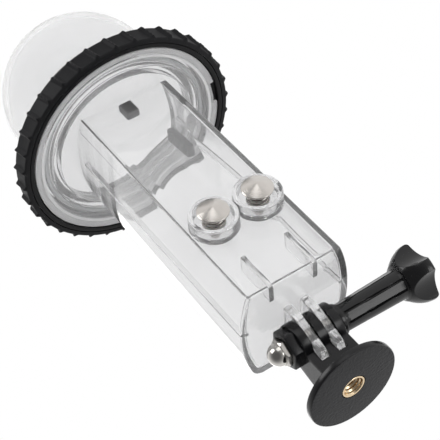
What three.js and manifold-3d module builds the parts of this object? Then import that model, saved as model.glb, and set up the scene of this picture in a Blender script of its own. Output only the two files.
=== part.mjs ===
// Clear underwater housing for a small stick-shaped camera, standing upright on its tripod foot.
// Millimetres. +Z runs up the case to the dome, -Y is the side with the two push buttons,
// +X is the side with the thumb screw. The origin lies on the table, under the dome's axis.
import * as THREE from 'three';
import { mergeVertices } from 'three/addons/utils/BufferGeometryUtils.js';
import Module from 'manifold-3d';

const wasm = await Module();
wasm.setup();

// Clearances and the overrun that lets a cut pass its faces
const seatGap = 0.3;
const runningGap = 0.2;
const threadGap = 0.35;
const overrun = 1;

// Foot: disc, stem and three prongs
const discRadius = 15.5;
const discThickness = 2.4;
const discBevel = 0.4;
const discCentreY = 5.8;
const hingeHeight = 19.4;
const hingeY = 0.8;
const prongThickness = 2.85;
const prongRadius = 6.9;
const prongPitch = prongThickness + runningGap;
const stemFrontY = -1.1;
const stemBackTopY = 7.9;
const stemBackBottomY = 11.2;
const stemBackTopZ = 15.7;
const slotClearance = 0.5;
const slotRunOutShare = 0.86;
const nutBossLength = 3.2;
const nutBossFlats = 11.4;
const nutPocketDepth = 2;

// Brass insert in the foot, with its quarter inch thread
const insertRadius = 4.1;
const insertLength = 7;
const insertThreadRadius = 3.2;
const insertThreadPitch = 1.27;
const insertThreadHeight = 0.45;
const insertChamfer = 0.3;
const insertBossWall = 1.4;

// Two fins under the case
const finEndRadius = 3.8;
const finEndY = 1;
const finEndDrop = 6.4;
const finBendRise = 2.9;
const finDrop = 8.6;
const finFrontY = -6.3;
const finBackY = 8.2;

// Thumb screw, its handle and its cap nut
const screwRadius = 2.4;
const screwTipX = -13.4;
const screwEndX = 20;
const nutFlats = 8;
const nutHexLength = 3.4;
const nutDomeRadius = 3.75;
const collarRadius = 5.3;
const collarLength = 1.6;
const shaftStartRadius = 4.65;
const shaftEndRadius = 5.15;
const shaftEndX = 32.5;
const grooveWidth = 0.75;
const grooveDepth = 1;
const grooveMargin = 0.7;
const barWidth = 2.7;
const barTurn = Math.PI / 4;
const knobEndX = 41.2;
const knobRadius = 9.6;
const knobNeckRadius = 6;
const knobFlareLength = 7.6;
const knobRimLength = 1;
const knobScallopRadius = 10.7;
const knobValleyRadius = 6.6;
const knobDishRadius = 3.6;
const knobDishDepth = 1.2;
const lobeCount = 4;
const knobTurn = -0.26;

// Case: a straight box, flat in front, bulging at the sides, round at the back corners
const caseHeight = 96.4;
const caseFrontWidth = 33.4;
const caseBulgeWidth = 39.3;
const caseBackWidth = 30.7;
const caseDepth = 37.4;
const wall = 1.9;
const frontCornerRadius = 0.9;
const backCornerRadius = 4.2;

// Ribs on the inside of the case
const frontRibThickness = 1.6;
const frontRibDepth = 5.9;
const frontRibHeight = 15.5;
const frontRibX = 7.9;
const sideRailWidth = 1.1;
const sideRailDepth = 0.8;
const sideRailY = -2.2;
const sideRailEndGap = 3;

// Collar on top of the case, which carries the dome
const plateThickness = 1.8;
const neckMargin = 1.23;
const collarWall = 7.7;
const collarStepInset = 3.5;
const collarStep = 0.5;
const collarHeight = 7.2;
const collarLipWidth = 2.2;
const collarLipThickness = 1.2;
const notchAngle = -0.1;
const notchSpan = 0.26;
const notchDepth = 1.5;

// Screw thread between the collar and the lock ring
const threadPitch = 3;
const threadHeight = 1.2;
const threadRootWidth = 1.5;
const threadCrestWidth = 0.7;
const threadTurns = 1.2;

// Seal in the top of the collar
const sealTubeRadius = 1;
const sealInset = 4.3;
const sealSideGap = 0.2;
const sealProud = 0.15;

// Dome port
const domeShoulder = 5;
const domeWall = 2;
const domeStraight = 24.3;
const domeFlangeThickness = 2.2;

// Lock ring and its ribbed grip
const ringCounterbore = 0.4;
const ringWall = 2.7;
const ringLipThickness = 2;
const ringLipReach = 1.2;
const gripThickness = 1.75;
const gripHeight = 7.1;
const gripRibHeight = 1.1;
const gripRibWidth = 1.5;
const gripRibCrest = 0.8;
const gripRibSlant = 0.037;
const gripRibEndGap = 0.35;
const gripRibCount = 36;

// Push buttons
const buttonSpacing = 16.1;
const buttonHeight = 29.9;
const bossRadius = 7.85;
const bossLength = 5;
const recessRadius = 6.3;
const recessDepth = 3.8;
const capRadius = 5.1;
const capRim = 0.6;
const capCone = 1.7;
const capLift = 1.1;
const capApexRadius = 0.6;
const stemRadius = 1.5;
const stemReach = 4.3;
const sealPocketRadius = 2.7;
const sealPocketDepth = 2.2;
const stemSealTube = 0.45;
const bushFlangeRadius = 4.1;
const bushFlangeThickness = 0.4;
const bushSleeve = 0.7;
const clipRadius = 3;
const clipThickness = 0.6;
const clipGrooveRadius = 1.15;
const clipOpening = 1.9;
const springRadius = 3.2;
const springWire = 0.5;
const springTurns = 2.5;

// Foam pads that hold the camera
const frontPadWidth = 4.8;
const frontPadHeight = 6;
const frontPadThickness = 3.2;
const sidePadWidth = 7.2;
const sidePadHeight = 12;
const sidePadThickness = 2;
const sidePadY = 7.4;
const sidePadTop = 1;

// Facets
const ringFacets = 72;
const boreFacets = 18;
const smallFacets = 12;
const arcFacets = 8;
const domeFacets = 56;
const domeRows = 8;
const threadFacets = 36;
const sealSides = 6;

// Places that follow from the sizes above
const caseBottom = hingeHeight + finDrop;
const finEndZ = hingeHeight - finEndDrop;
const slotRadius = Math.hypot(finEndY - hingeY, finEndDrop) + finEndRadius + slotClearance;
const caseTop = caseBottom + caseHeight;
const caseFrontY = -caseDepth / 2;
const neckInnerRadius = Math.hypot(caseFrontWidth / 2, caseDepth / 2) + neckMargin;
const collarStepRadius = neckInnerRadius + collarStepInset;
const collarOuterRadius = neckInnerRadius + collarWall;
const collarLipRadius = collarOuterRadius + collarLipWidth;
const sealRadius = neckInnerRadius + sealInset;
const domeRadius = collarOuterRadius - domeShoulder;
const ringLipRadius = collarOuterRadius - ringLipReach;
const collarTop = caseTop + collarHeight;
const prongOuterX = 2 * prongPitch + prongThickness / 2;
const boreRadius = screwRadius + seatGap;
const threadRoot = collarOuterRadius;
const threadCrest = threadRoot + threadHeight;
const ringRootRadius = threadCrest + threadGap;
const ringCrestRadius = threadRoot + threadGap;
const ringOuterRadius = ringRootRadius + ringWall;
const flangeBottom = collarTop + seatGap;
const flangeTop = flangeBottom + domeFlangeThickness;
const ringTop = flangeTop + seatGap + ringLipThickness;
const domeCentre = flangeTop + domeStraight - domeFlangeThickness;
const bossFrontY = caseFrontY - bossLength;
const recessFloorY = bossFrontY + recessDepth;
const capUnderY = bossFrontY - capLift;
const innerFrontY = caseFrontY + wall;

const materials = {
  clear: { color: 0xe6eaec, roughness: 0.06, metalness: 0 },
  seal: { color: 0xd8dadb, roughness: 0.5, metalness: 0 },
  ring: { color: 0x232325, roughness: 0.42, metalness: 0 },
  grip: { color: 0x2b2b2d, roughness: 0.7, metalness: 0 },
  foam: { color: 0x636366, roughness: 0.95, metalness: 0 },
  steel: { color: 0xc9c6c0, roughness: 0.25, metalness: 1 },
  plastic: { color: 0x1c1c1e, roughness: 0.3, metalness: 0 },
  nylon: { color: 0xe4e3df, roughness: 0.5, metalness: 0 },
  brass: { color: 0xc9a25c, roughness: 0.3, metalness: 1 },
};

// Turns a geometry into a solid for joining and cutting
function solid(geometry) {
  const bare = geometry.clone();
  bare.deleteAttribute('normal');
  bare.deleteAttribute('uv');
  const merged = mergeVertices(bare, 1e-4);
  const mesh = new wasm.Mesh({
    numProp: 3,
    vertProperties: new Float32Array(merged.attributes.position.array),
    triVerts: new Uint32Array(merged.index.array),
  });
  const body = new wasm.Manifold(mesh);
  if (body.volume() <= 0) throw new Error('a solid to be joined or cut is inside out');
  return body;
}

// Turns a finished solid back into a geometry
function geometryOf(body) {
  const mesh = body.getMesh();
  const geometry = new THREE.BufferGeometry();
  const positions = new Float32Array(mesh.numVert * 3);
  for (let i = 0; i < mesh.numVert; i += 1) {
    for (let k = 0; k < 3; k += 1) positions[3 * i + k] = mesh.vertProperties[mesh.numProp * i + k];
  }
  geometry.setAttribute('position', new THREE.BufferAttribute(positions, 3));
  geometry.setIndex(new THREE.BufferAttribute(new Uint32Array(mesh.triVerts), 1));
  geometry.computeVertexNormals();
  return geometry;
}

// Block between two corners
function block(x0, x1, y0, y1, z0, z1) {
  const box = new THREE.BoxGeometry(x1 - x0, y1 - y0, z1 - z0);
  return box.translate((x0 + x1) / 2, (y0 + y1) / 2, (z0 + z1) / 2);
}

// Solid of revolution about +Z; the profile is a list of [radius, z] that closes or ends on the axis
function turned(profile, facets) {
  const points = profile.map(([radius, z]) => new THREE.Vector2(radius, z));
  return new THREE.LatheGeometry(points, facets).rotateX(Math.PI / 2);
}

// Closed ring profile turned about +Z
function turnedRing(profile, facets) {
  return turned([...profile, profile[0]], facets);
}

// Extrusion of a shape in XY from z0 to z1
function prism(shape, z0, z1, curveFacets = arcFacets) {
  const options = { depth: z1 - z0, bevelEnabled: false, curveSegments: curveFacets };
  return new THREE.ExtrudeGeometry(shape, options).translate(0, 0, z0);
}

// Lays something drawn about +Z along +X
function alongX(geometry) {
  return geometry.rotateY(Math.PI / 2);
}

// Lays something drawn about +Z along -Y, so that its +Z end faces the front
function alongFront(geometry) {
  return geometry.rotateX(Math.PI / 2);
}

// Plate drawn in Y and Z, extruded from x0 to x1
function sidePlate(points, x0, x1) {
  const shape = new THREE.Shape(points.map(([y, z]) => new THREE.Vector2(y, z)));
  const plate = prism(shape, x0, x1);
  const turn = new THREE.Matrix4().makeBasis(
    new THREE.Vector3(0, 1, 0),
    new THREE.Vector3(0, 0, 1),
    new THREE.Vector3(1, 0, 0),
  );
  return plate.applyMatrix4(turn);
}

// Regular hexagon by the distance across its flats
function hexagon(flats) {
  const corner = flats / Math.sqrt(3);
  const points = [];
  for (let i = 0; i < 6; i += 1) {
    const angle = (i + 1 / 2) * (Math.PI / 3);
    points.push(new THREE.Vector2(corner * Math.cos(angle), corner * Math.sin(angle)));
  }
  return new THREE.Shape(points);
}

// Points of an arc about a centre, from one angle to another
function arcPoints(centreA, centreB, radius, from, to, steps) {
  const points = [];
  for (let i = 0; i <= steps; i += 1) {
    const angle = from + ((to - from) * i) / steps;
    points.push([centreA + radius * Math.cos(angle), centreB + radius * Math.sin(angle)]);
  }
  return points;
}

// Circle of each side wall, through its front corner, its widest point and its back corner
function sideCircle() {
  const front = [caseFrontWidth / 2, -caseDepth / 2];
  const middle = [caseBulgeWidth / 2, 0];
  const back = [caseBackWidth / 2, caseDepth / 2];
  const chordA = [middle[0] - front[0], middle[1] - front[1]];
  const chordB = [back[0] - front[0], back[1] - front[1]];
  const squareA = chordA[0] ** 2 + chordA[1] ** 2;
  const squareB = chordB[0] ** 2 + chordB[1] ** 2;
  const cross = 2 * (chordA[0] * chordB[1] - chordA[1] * chordB[0]);
  const x = (chordB[1] * squareA - chordA[1] * squareB) / cross;
  const y = (chordA[0] * squareB - chordB[0] * squareA) / cross;
  return { x: front[0] + x, y: front[1] + y, radius: Math.hypot(x, y) };
}

// Outline of the case drawn inward by an inset, as points from the front right corner round the back
function caseOutline(inset) {
  const circle = sideCircle();
  const halfDepth = caseDepth / 2;
  const corner = (cornerRadius, side) => {
    const y = side * (halfDepth - cornerRadius);
    const reach = circle.radius - cornerRadius;
    const x = circle.x + Math.sqrt(reach ** 2 - (y - circle.y) ** 2);
    return { x, y, meet: Math.atan2(y - circle.y, x - circle.x) };
  };
  const front = corner(frontCornerRadius, -1);
  const back = corner(backCornerRadius, 1);
  const frontRadius = Math.max(frontCornerRadius - inset, runningGap);
  const frontShift = frontRadius + inset - frontCornerRadius;
  const right = [
    ...arcPoints(front.x - frontShift, front.y + frontShift, frontRadius, -Math.PI / 2, front.meet, 3),
    ...arcPoints(circle.x, circle.y, circle.radius - inset, front.meet, back.meet, 12),
    ...arcPoints(back.x, back.y, backCornerRadius - inset, back.meet, Math.PI / 2, 5),
  ];
  const left = right.map(([x, y]) => [-x, y]).reverse();
  return [...right, ...left];
}

// Drops points that repeat their neighbour, so that an outline makes a clean shape
function outlineShape(points) {
  const kept = points.filter(([x, y], i) => {
    const [lastX, lastY] = points[(i + points.length - 1) % points.length];
    return Math.hypot(x - lastX, y - lastY) > 1e-3;
  });
  return new THREE.Shape(kept.map(([x, y]) => new THREE.Vector2(x, y)));
}

// Helical ridge about +Z as one closed body; side is 1 for a ridge that points out and -1 for one in
function helixRidge({ radius, height, sink, rootWidth, crestWidth, pitch, turns, start, side, facets }) {
  const steps = Math.round(turns * facets);
  const section = [
    [-side * sink, -rootWidth / 2],
    [side * height, -crestWidth / 2],
    [side * height, crestWidth / 2],
    [-side * sink, rootWidth / 2],
  ];
  const positions = [];
  for (let i = 0; i <= steps; i += 1) {
    const angle = (2 * Math.PI * turns * i) / steps;
    for (const [dr, dz] of section) {
      const z = start + (pitch * angle) / (2 * Math.PI) + dz;
      positions.push((radius + dr) * Math.cos(angle), (radius + dr) * Math.sin(angle), z);
    }
  }
  return tubeBetween(positions, section.length, steps, side > 0);
}

// Joins rings of points into one closed tube with flat ends
function tubeBetween(positions, sides, steps, flip) {
  const triangles = [];
  const add = (a, b, c) => (flip ? triangles.push(a, c, b) : triangles.push(a, b, c));
  for (let i = 0; i < steps; i += 1) {
    for (let k = 0; k < sides; k += 1) {
      const a = i * sides + k;
      const b = i * sides + ((k + 1) % sides);
      add(a, b, b + sides);
      add(a, b + sides, a + sides);
    }
  }
  for (let k = 1; k < sides - 1; k += 1) {
    const last = steps * sides;
    add(0, k + 1, k);
    add(last, last + k, last + k + 1);
  }
  const geometry = new THREE.BufferGeometry();
  geometry.setAttribute('position', new THREE.Float32BufferAttribute(positions, 3));
  geometry.setIndex(triangles);
  return geometry;
}

// Points on the straight case part of the inner side wall, at a given y
function innerSideX(y, inset) {
  const circle = sideCircle();
  return circle.x + Math.sqrt((circle.radius - inset) ** 2 - (y - circle.y) ** 2);
}

// The box of the case with its floor, ribs and rails
function caseBox() {
  let box = solid(prism(outlineShape(caseOutline(0)), caseBottom, caseTop + plateThickness / 2));
  box = box.subtract(solid(prism(outlineShape(caseOutline(wall)), caseBottom + wall, caseTop + overrun * 2)));
  for (const side of [-1, 1]) {
    const x = side * frontRibX;
    const ribTop = caseBottom + frontRibHeight;
    const half = frontRibThickness / 2;
    const ribBack = innerFrontY + frontRibDepth;
    box = box.add(solid(block(x - half, x + half, caseFrontY + wall / 2, ribBack, caseBottom + wall / 2, ribTop)));
    const railX = innerSideX(sideRailY, wall);
    const railIn = side * (railX - sideRailDepth);
    const railOut = side * (railX + wall / 2);
    const railLow = caseBottom + wall / 2;
    const railHigh = caseTop - sideRailEndGap;
    const railFront = sideRailY - sideRailWidth / 2;
    const railBack = sideRailY + sideRailWidth / 2;
    const rail = block(Math.min(railIn, railOut), Math.max(railIn, railOut), railFront, railBack, railLow, railHigh);
    box = box.add(solid(rail));
  }
  return box;
}

// The collar: a plate round the case's mouth, a neck, a seal groove and a lip, with the male thread
function caseCollar() {
  const grooveHalf = sealTubeRadius + sealSideGap;
  const grooveFloor = collarTop - 2 * sealTubeRadius + sealProud - sealSideGap;
  const profile = [
    [0, caseTop],
    [collarStepRadius, caseTop],
    [collarStepRadius, caseTop + collarStep],
    [collarOuterRadius, caseTop + collarStep],
    [collarOuterRadius, caseTop],
    [collarLipRadius, caseTop],
    [collarLipRadius, caseTop + collarLipThickness],
    [collarOuterRadius, caseTop + collarLipThickness],
    [collarOuterRadius, collarTop],
    [sealRadius + grooveHalf, collarTop],
    [sealRadius + grooveHalf, grooveFloor],
    [sealRadius - grooveHalf, grooveFloor],
    [sealRadius - grooveHalf, collarTop],
    [neckInnerRadius, collarTop],
    [neckInnerRadius, caseTop + plateThickness],
    [0, caseTop + plateThickness],
  ];
  const thread = helixRidge({
    radius: threadRoot,
    height: threadHeight,
    sink: threadHeight / 2,
    rootWidth: threadRootWidth,
    crestWidth: threadCrestWidth,
    pitch: threadPitch,
    turns: threadTurns,
    start: caseTop + collarLipThickness + threadGap + threadRootWidth / 2,
    side: 1,
    facets: threadFacets,
  });
  const mouth = prism(outlineShape(caseOutline(wall)), caseTop - overrun, collarTop + overrun);
  return solid(turned(profile, ringFacets)).add(solid(thread)).subtract(solid(mouth)).subtract(solid(collarNotch()));
}

// A short notch in the collar's lip
function collarNotch() {
  const from = notchAngle - notchSpan / 2;
  const to = notchAngle + notchSpan / 2;
  const outer = arcPoints(0, 0, collarLipRadius + overrun, from, to, arcFacets);
  const inner = arcPoints(0, 0, collarLipRadius - notchDepth, to, from, arcFacets);
  return prism(outlineShape([...outer, ...inner]), caseTop - overrun, caseTop + collarLipThickness + threadGap / 2);
}

// Both clear bosses of the push buttons, and the holes through them
function buttonBosses() {
  const bores = [];
  let bosses = null;
  for (const side of [-1, 1]) {
    const x = (side * buttonSpacing) / 2;
    const z = caseBottom + buttonHeight;
    const back = caseFrontY + wall / 2;
    const boss = alongFront(turned(cylinderProfile(bossRadius, -back, -bossFrontY), ringFacets / 2));
    const body = solid(boss.translate(x, 0, z));
    bosses = bosses ? bosses.add(body) : body;
    const pocketFloor = -recessFloorY - sealPocketDepth;
    const hole = [
      [0, -innerFrontY - overrun],
      [stemRadius + runningGap, -innerFrontY - overrun],
      [stemRadius + runningGap, pocketFloor],
      [sealPocketRadius, pocketFloor],
      [sealPocketRadius, -recessFloorY],
      [recessRadius, -recessFloorY],
      [recessRadius, -bossFrontY + overrun],
      [0, -bossFrontY + overrun],
    ];
    bores.push(solid(alongFront(turned(hole, boreFacets * 2)).translate(x, 0, z)));
  }
  return { bosses, bores };
}

// Profile of a plain cylinder about +Z
function cylinderProfile(radius, z0, z1) {
  return [[0, z0], [radius, z0], [radius, z1], [0, z1]];
}

// Angle at which a straight edge from a point touches the fins' round end, in front (1) or behind (-1)
function finTouchAngle(y, z, side) {
  const dy = y - finEndY;
  const dz = z - finEndZ;
  return Math.atan2(dz, dy) + side * Math.acos(finEndRadius / Math.hypot(dy, dz));
}

// The two fins under the case: blades that lean back to a round end below the hinge
function caseFins() {
  const bendZ = hingeHeight + finBendRise;
  const front = finTouchAngle(finFrontY, bendZ, 1) - 2 * Math.PI;
  const back = finTouchAngle(finBackY, caseBottom, -1);
  const low = arcPoints(finEndY, finEndZ, finEndRadius, front, back, 2 * arcFacets);
  const root = caseBottom + wall / 2;
  const outline = [...low, [finBackY, caseBottom], [finBackY, root], [finFrontY, root], [finFrontY, bendZ]];
  let fins = null;
  for (const side of [-1, 1]) {
    const x = side * prongPitch;
    const fin = solid(sidePlate(outline, x - prongThickness / 2, x + prongThickness / 2));
    fins = fins ? fins.add(fin) : fin;
  }
  return fins.subtract(screwHole());
}

// The hole for the thumb screw, across everything at the hinge
function screwHole() {
  const reach = prongOuterX + nutBossLength + overrun;
  const hole = alongX(turned(cylinderProfile(boreRadius, -reach, reach), boreFacets));
  return solid(hole.translate(0, hingeY, hingeHeight));
}

function housingBody() {
  const { bosses, bores } = buttonBosses();
  let body = caseBox().add(caseCollar()).add(bosses).add(caseFins());
  for (const bore of bores) body = body.subtract(bore);
  return geometryOf(body);
}

function domePort() {
  const inner = domeRadius - domeWall;
  const outerArc = arcPoints(0, domeCentre, domeRadius, 0, Math.PI / 2, domeRows);
  const innerArc = arcPoints(0, domeCentre, inner, Math.PI / 2, 0, domeRows);
  outerArc[domeRows][0] = 0;
  innerArc[0][0] = 0;
  const profile = [
    ...outerArc.slice().reverse(),
    [domeRadius, flangeTop],
    [collarOuterRadius, flangeTop],
    [collarOuterRadius, flangeBottom],
    [inner, flangeBottom],
    ...innerArc.slice().reverse(),
  ];
  return turned(profile.reverse(), domeFacets);
}

function portSeal() {
  const tube = arcPoints(sealRadius, 0, sealTubeRadius, 0, 2 * Math.PI, sealSides).slice(0, sealSides);
  const centre = collarTop - sealTubeRadius + sealProud;
  return turnedRing(tube.map(([radius, z]) => [radius, z + centre]), ringFacets);
}

// Threaded core of the lock ring: it hangs over the dome's flange and screws down on the collar
function lockRing() {
  const boreLow = collarLipRadius + ringCounterbore;
  const shoulder = caseTop + gripHeight;
  const profile = [
    [boreLow, caseTop],
    [ringOuterRadius, caseTop],
    [ringOuterRadius, shoulder],
    [ringOuterRadius - ringWall, ringTop],
    [ringLipRadius, ringTop],
    [ringLipRadius, flangeTop + seatGap],
    [ringRootRadius, flangeTop + seatGap],
    [ringRootRadius, caseTop + collarLipThickness + threadGap],
    [boreLow, caseTop + collarLipThickness + threadGap],
  ];
  const thread = helixRidge({
    radius: ringRootRadius,
    height: threadHeight,
    sink: ringWall / 2,
    rootWidth: threadRootWidth,
    crestWidth: threadCrestWidth,
    pitch: threadPitch,
    turns: threadTurns,
    start: caseTop + collarLipThickness + threadGap + threadRootWidth / 2 + threadPitch / 2,
    side: -1,
    facets: threadFacets,
  });
  return geometryOf(solid(turnedRing(profile, ringFacets)).add(solid(thread)));
}

// One slanted rib of the grip, as a bar across the sleeve
function gripRib(index, innerRadius, outerRadius) {
  const low = caseTop + gripRibEndGap;
  const high = caseTop + gripHeight - gripRibEndGap;
  const middle = (2 * Math.PI * index) / gripRibCount;
  const rings = [];
  for (const [z, lean] of [[low, gripRibSlant / 2], [high, -gripRibSlant / 2]]) {
    const angle = middle + lean;
    const along = [Math.cos(angle), Math.sin(angle)];
    const across = [-Math.sin(angle), Math.cos(angle)];
    const corners = [
      [innerRadius, -gripRibWidth / 2],
      [outerRadius, -gripRibWidth / 2],
      [outerRadius + gripRibHeight, -gripRibCrest / 2],
      [outerRadius + gripRibHeight, gripRibCrest / 2],
      [outerRadius, gripRibWidth / 2],
      [innerRadius, gripRibWidth / 2],
    ];
    for (const [r, w] of corners) rings.push(r * along[0] + w * across[0], r * along[1] + w * across[1], z);
  }
  return tubeBetween(rings, 6, 1, false);
}

function ringGrip() {
  const inner = ringOuterRadius + runningGap;
  const outer = inner + gripThickness;
  const profile = [
    [inner, caseTop],
    [outer, caseTop],
    [outer, caseTop + gripHeight],
    [inner, caseTop + gripHeight],
  ];
  let grip = solid(turnedRing(profile, ringFacets));
  for (let i = 0; i < gripRibCount; i += 1) grip = grip.add(solid(gripRib(i, inner + gripThickness / 2, outer)));
  return geometryOf(grip);
}

// Cap and stem of one push button, turned in one piece, with a groove for its clip
function buttonPlunger() {
  const grooveNear = innerFrontY + seatGap - runningGap / 2;
  const grooveFar = grooveNear + clipThickness + runningGap;
  const profile = [
    [0, -innerFrontY - stemReach],
    [stemRadius, -innerFrontY - stemReach],
    [stemRadius, -grooveFar],
    [clipGrooveRadius, -grooveFar],
    [clipGrooveRadius, -grooveNear],
    [stemRadius, -grooveNear],
    [stemRadius, -capUnderY],
    [capRadius, -capUnderY],
    [capRadius, -capUnderY + capRim],
    [capApexRadius, -capUnderY + capRim + capCone],
    [0, -capUnderY + capRim + capCone],
  ];
  return alongFront(turned(profile, boreFacets * 2));
}

// Return spring of one push button: curls with straight ends, as one unbroken tube
function buttonSpring() {
  const low = recessFloorY - bushFlangeThickness - seatGap;
  const high = capUnderY + seatGap / 2;
  const length = low - high;
  const rise = length - 2 * springWire;
  const steps = Math.round(springTurns * 8);
  const path = [];
  for (let i = 0; i <= steps; i += 1) {
    const angle = (2 * Math.PI * springTurns * i) / steps;
    const along = springWire + (rise * i) / steps;
    path.push(new THREE.Vector3(springRadius * Math.cos(angle), springRadius * Math.sin(angle), -low + along));
  }
  path.unshift(path[0].clone().setZ(-low));
  path.push(path[path.length - 1].clone().setZ(-high));
  reportSpringGap(path);
  return alongFront(wireAlong(path, springWire / 2, 5));
}

// Sweeps a round wire along points; its end faces lie square to the spring's axis
function wireAlong(path, radius, sides) {
  const positions = [];
  path.forEach((point, i) => {
    const before = path[Math.max(i - 1, 0)];
    const after = path[Math.min(i + 1, path.length - 1)];
    const ends = i === 0 || i === path.length - 1;
    const forward = ends ? new THREE.Vector3(0, 0, 1) : after.clone().sub(before).normalize();
    const out = new THREE.Vector3(point.x, point.y, 0).normalize();
    const sideways = new THREE.Vector3().crossVectors(forward, out).normalize();
    const outward = new THREE.Vector3().crossVectors(sideways, forward).normalize();
    for (let k = 0; k < sides; k += 1) {
      const angle = (2 * Math.PI * k) / sides;
      const offset = outward.clone().multiplyScalar(radius * Math.cos(angle));
      offset.addScaledVector(sideways, radius * Math.sin(angle));
      positions.push(point.x + offset.x, point.y + offset.y, point.z + offset.z);
    }
  });
  return tubeBetween(positions, sides, path.length - 1, false);
}

// Prints the least distance between parts of the spring that lie at least half a curl apart
function reportSpringGap(path) {
  const fine = [];
  for (let i = 0; i < path.length - 1; i += 1) {
    for (let k = 0; k < 4; k += 1) fine.push(path[i].clone().lerp(path[i + 1], k / 4));
  }
  const apartCount = 16;
  let least = Infinity;
  for (let i = 0; i < fine.length; i += 1) {
    for (let k = i + apartCount; k < fine.length; k += 1) least = Math.min(least, fine[i].distanceTo(fine[k]));
  }
  console.log(`least gap of a button spring to itself: ${(least - springWire).toFixed(2)} mm`);
}

function stemSeal() {
  const inner = stemRadius + runningGap / 2;
  const centreRadius = inner + stemSealTube;
  const floor = -recessFloorY - sealPocketDepth;
  const tube = arcPoints(centreRadius, 0, stemSealTube, 0, 2 * Math.PI, sealSides).slice(0, sealSides);
  const profile = tube.map(([radius, z]) => [radius, z + floor + stemSealTube + runningGap / 2]);
  return alongFront(turnedRing(profile, boreFacets));
}

// Flanged bush that keeps the stem's seal in its pocket and carries the spring
function sealBush() {
  const inner = stemRadius + runningGap;
  const seat = -recessFloorY + runningGap / 2;
  const profile = [
    [inner, seat - bushSleeve],
    [sealPocketRadius - runningGap / 2, seat - bushSleeve],
    [sealPocketRadius - runningGap / 2, seat],
    [bushFlangeRadius, seat],
    [bushFlangeRadius, seat + bushFlangeThickness],
    [inner, seat + bushFlangeThickness],
  ];
  return alongFront(turnedRing(profile, boreFacets));
}

// Snap clip on the inner end of a stem
function stemClip() {
  const inner = clipGrooveRadius + runningGap / 2;
  const half = clipOpening / 2;
  const outerStart = Math.asin(half / clipRadius);
  const innerStart = Math.asin(half / inner);
  const outer = arcPoints(0, 0, clipRadius, outerStart, 2 * Math.PI - outerStart, boreFacets);
  const hole = arcPoints(0, 0, inner, 2 * Math.PI - innerStart, innerStart, smallFacets);
  const near = -(innerFrontY + seatGap + clipThickness);
  const clip = prism(outlineShape([...outer, ...hole]), near, near + clipThickness);
  return alongFront(clip.rotateZ(-Math.PI / 2));
}

function frontPad() {
  const half = frontPadWidth / 2;
  const back = innerFrontY + frontPadThickness;
  return block(-half, half, innerFrontY, back, caseTop - frontPadHeight, caseTop);
}

// Pad on the inside of the right wall, cut to the wall's curve
function sidePad() {
  const top = caseTop - sidePadTop;
  const y0 = sidePadY - sidePadWidth / 2;
  const y1 = sidePadY + sidePadWidth / 2;
  const outerX = caseBulgeWidth / 2;
  const outline = caseOutline(wall + seatGap);
  const inside = prism(outlineShape(outline), top - sidePadHeight, top);
  const innerX = innerSideX(y1, wall) - seatGap - sidePadThickness;
  return geometryOf(solid(inside).intersect(solid(block(innerX, outerX, y0, y1, top - sidePadHeight, top))));
}

// Stem of the foot: upright in front, leaning back below
function footStem() {
  const frontWrap = Math.acos((hingeY - stemFrontY) / prongRadius);
  const base = discThickness / 2;
  const outline = [
    [stemFrontY, base],
    [stemBackBottomY, base],
    [stemBackTopY, stemBackTopZ],
    [hingeY + prongRadius, hingeHeight],
    ...arcPoints(hingeY, hingeHeight, prongRadius, 0, Math.PI + frontWrap, 3 * arcFacets),
  ];
  return solid(sidePlate(outline, -prongOuterX, prongOuterX));
}

function tripodFoot() {
  const disc = [
    [0, 0],
    [discRadius - discBevel, 0],
    [discRadius, discBevel],
    [discRadius, discThickness - discBevel],
    [discRadius - discBevel, discThickness],
    [0, discThickness],
  ];
  const insertBoss = cylinderProfile(insertRadius + insertBossWall, discThickness / 2, insertLength + insertBossWall);
  let foot = solid(turned(disc, ringFacets)).add(solid(turned(insertBoss, 2 * boreFacets)));
  foot = foot.translate(0, discCentreY, 0).add(footStem());
  const slotHalf = prongThickness / 2 + runningGap;
  for (const side of [-1, 1]) {
    const x = side * prongPitch;
    const slot = cylinderProfile(slotRadius, x - slotHalf, x + slotHalf);
    foot = foot.subtract(solid(alongX(turned(slot, 2 * boreFacets)).translate(0, hingeY, hingeHeight)));
    const runOutZ = hingeHeight - slotRunOutShare * slotRadius;
    const runOut = block(x - slotHalf, x + slotHalf, hingeY, stemBackBottomY + overrun, runOutZ, hingeHeight);
    foot = foot.subtract(solid(runOut));
  }
  const bossEnd = -prongOuterX - nutBossLength;
  const boss = alongX(prism(hexagon(nutBossFlats), bossEnd, -prongOuterX + runningGap));
  const pocket = alongX(prism(hexagon(nutFlats + 2 * seatGap), bossEnd - overrun, bossEnd + nutPocketDepth));
  foot = foot.add(solid(boss.translate(0, hingeY, hingeHeight)));
  foot = foot.subtract(solid(pocket.translate(0, hingeY, hingeHeight))).subtract(screwHole());
  const insertHole = cylinderProfile(insertRadius + runningGap, -overrun, insertLength + seatGap);
  return geometryOf(foot.subtract(solid(turned(insertHole, boreFacets).translate(0, discCentreY, 0))));
}

// Brass insert with a real helical thread, flush with the underside of the disc
function threadedInsert() {
  const profile = [
    [insertThreadRadius + insertChamfer, 0],
    [insertRadius - insertChamfer / 2, 0],
    [insertRadius, insertChamfer / 2],
    [insertRadius, insertLength],
    [insertThreadRadius, insertLength],
    [insertThreadRadius, insertChamfer],
  ];
  const turns = (insertLength - 2 * insertThreadPitch) / insertThreadPitch;
  const ridge = helixRidge({
    radius: insertThreadRadius,
    height: insertThreadHeight,
    sink: insertThreadHeight / 2,
    rootWidth: insertThreadPitch / 2,
    crestWidth: insertThreadPitch / 6,
    pitch: insertThreadPitch,
    turns,
    start: insertThreadPitch,
    side: -1,
    facets: smallFacets,
  });
  const insert = solid(turnedRing(profile, boreFacets)).add(solid(ridge));
  return geometryOf(insert).translate(0, discCentreY, 0);
}

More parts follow.
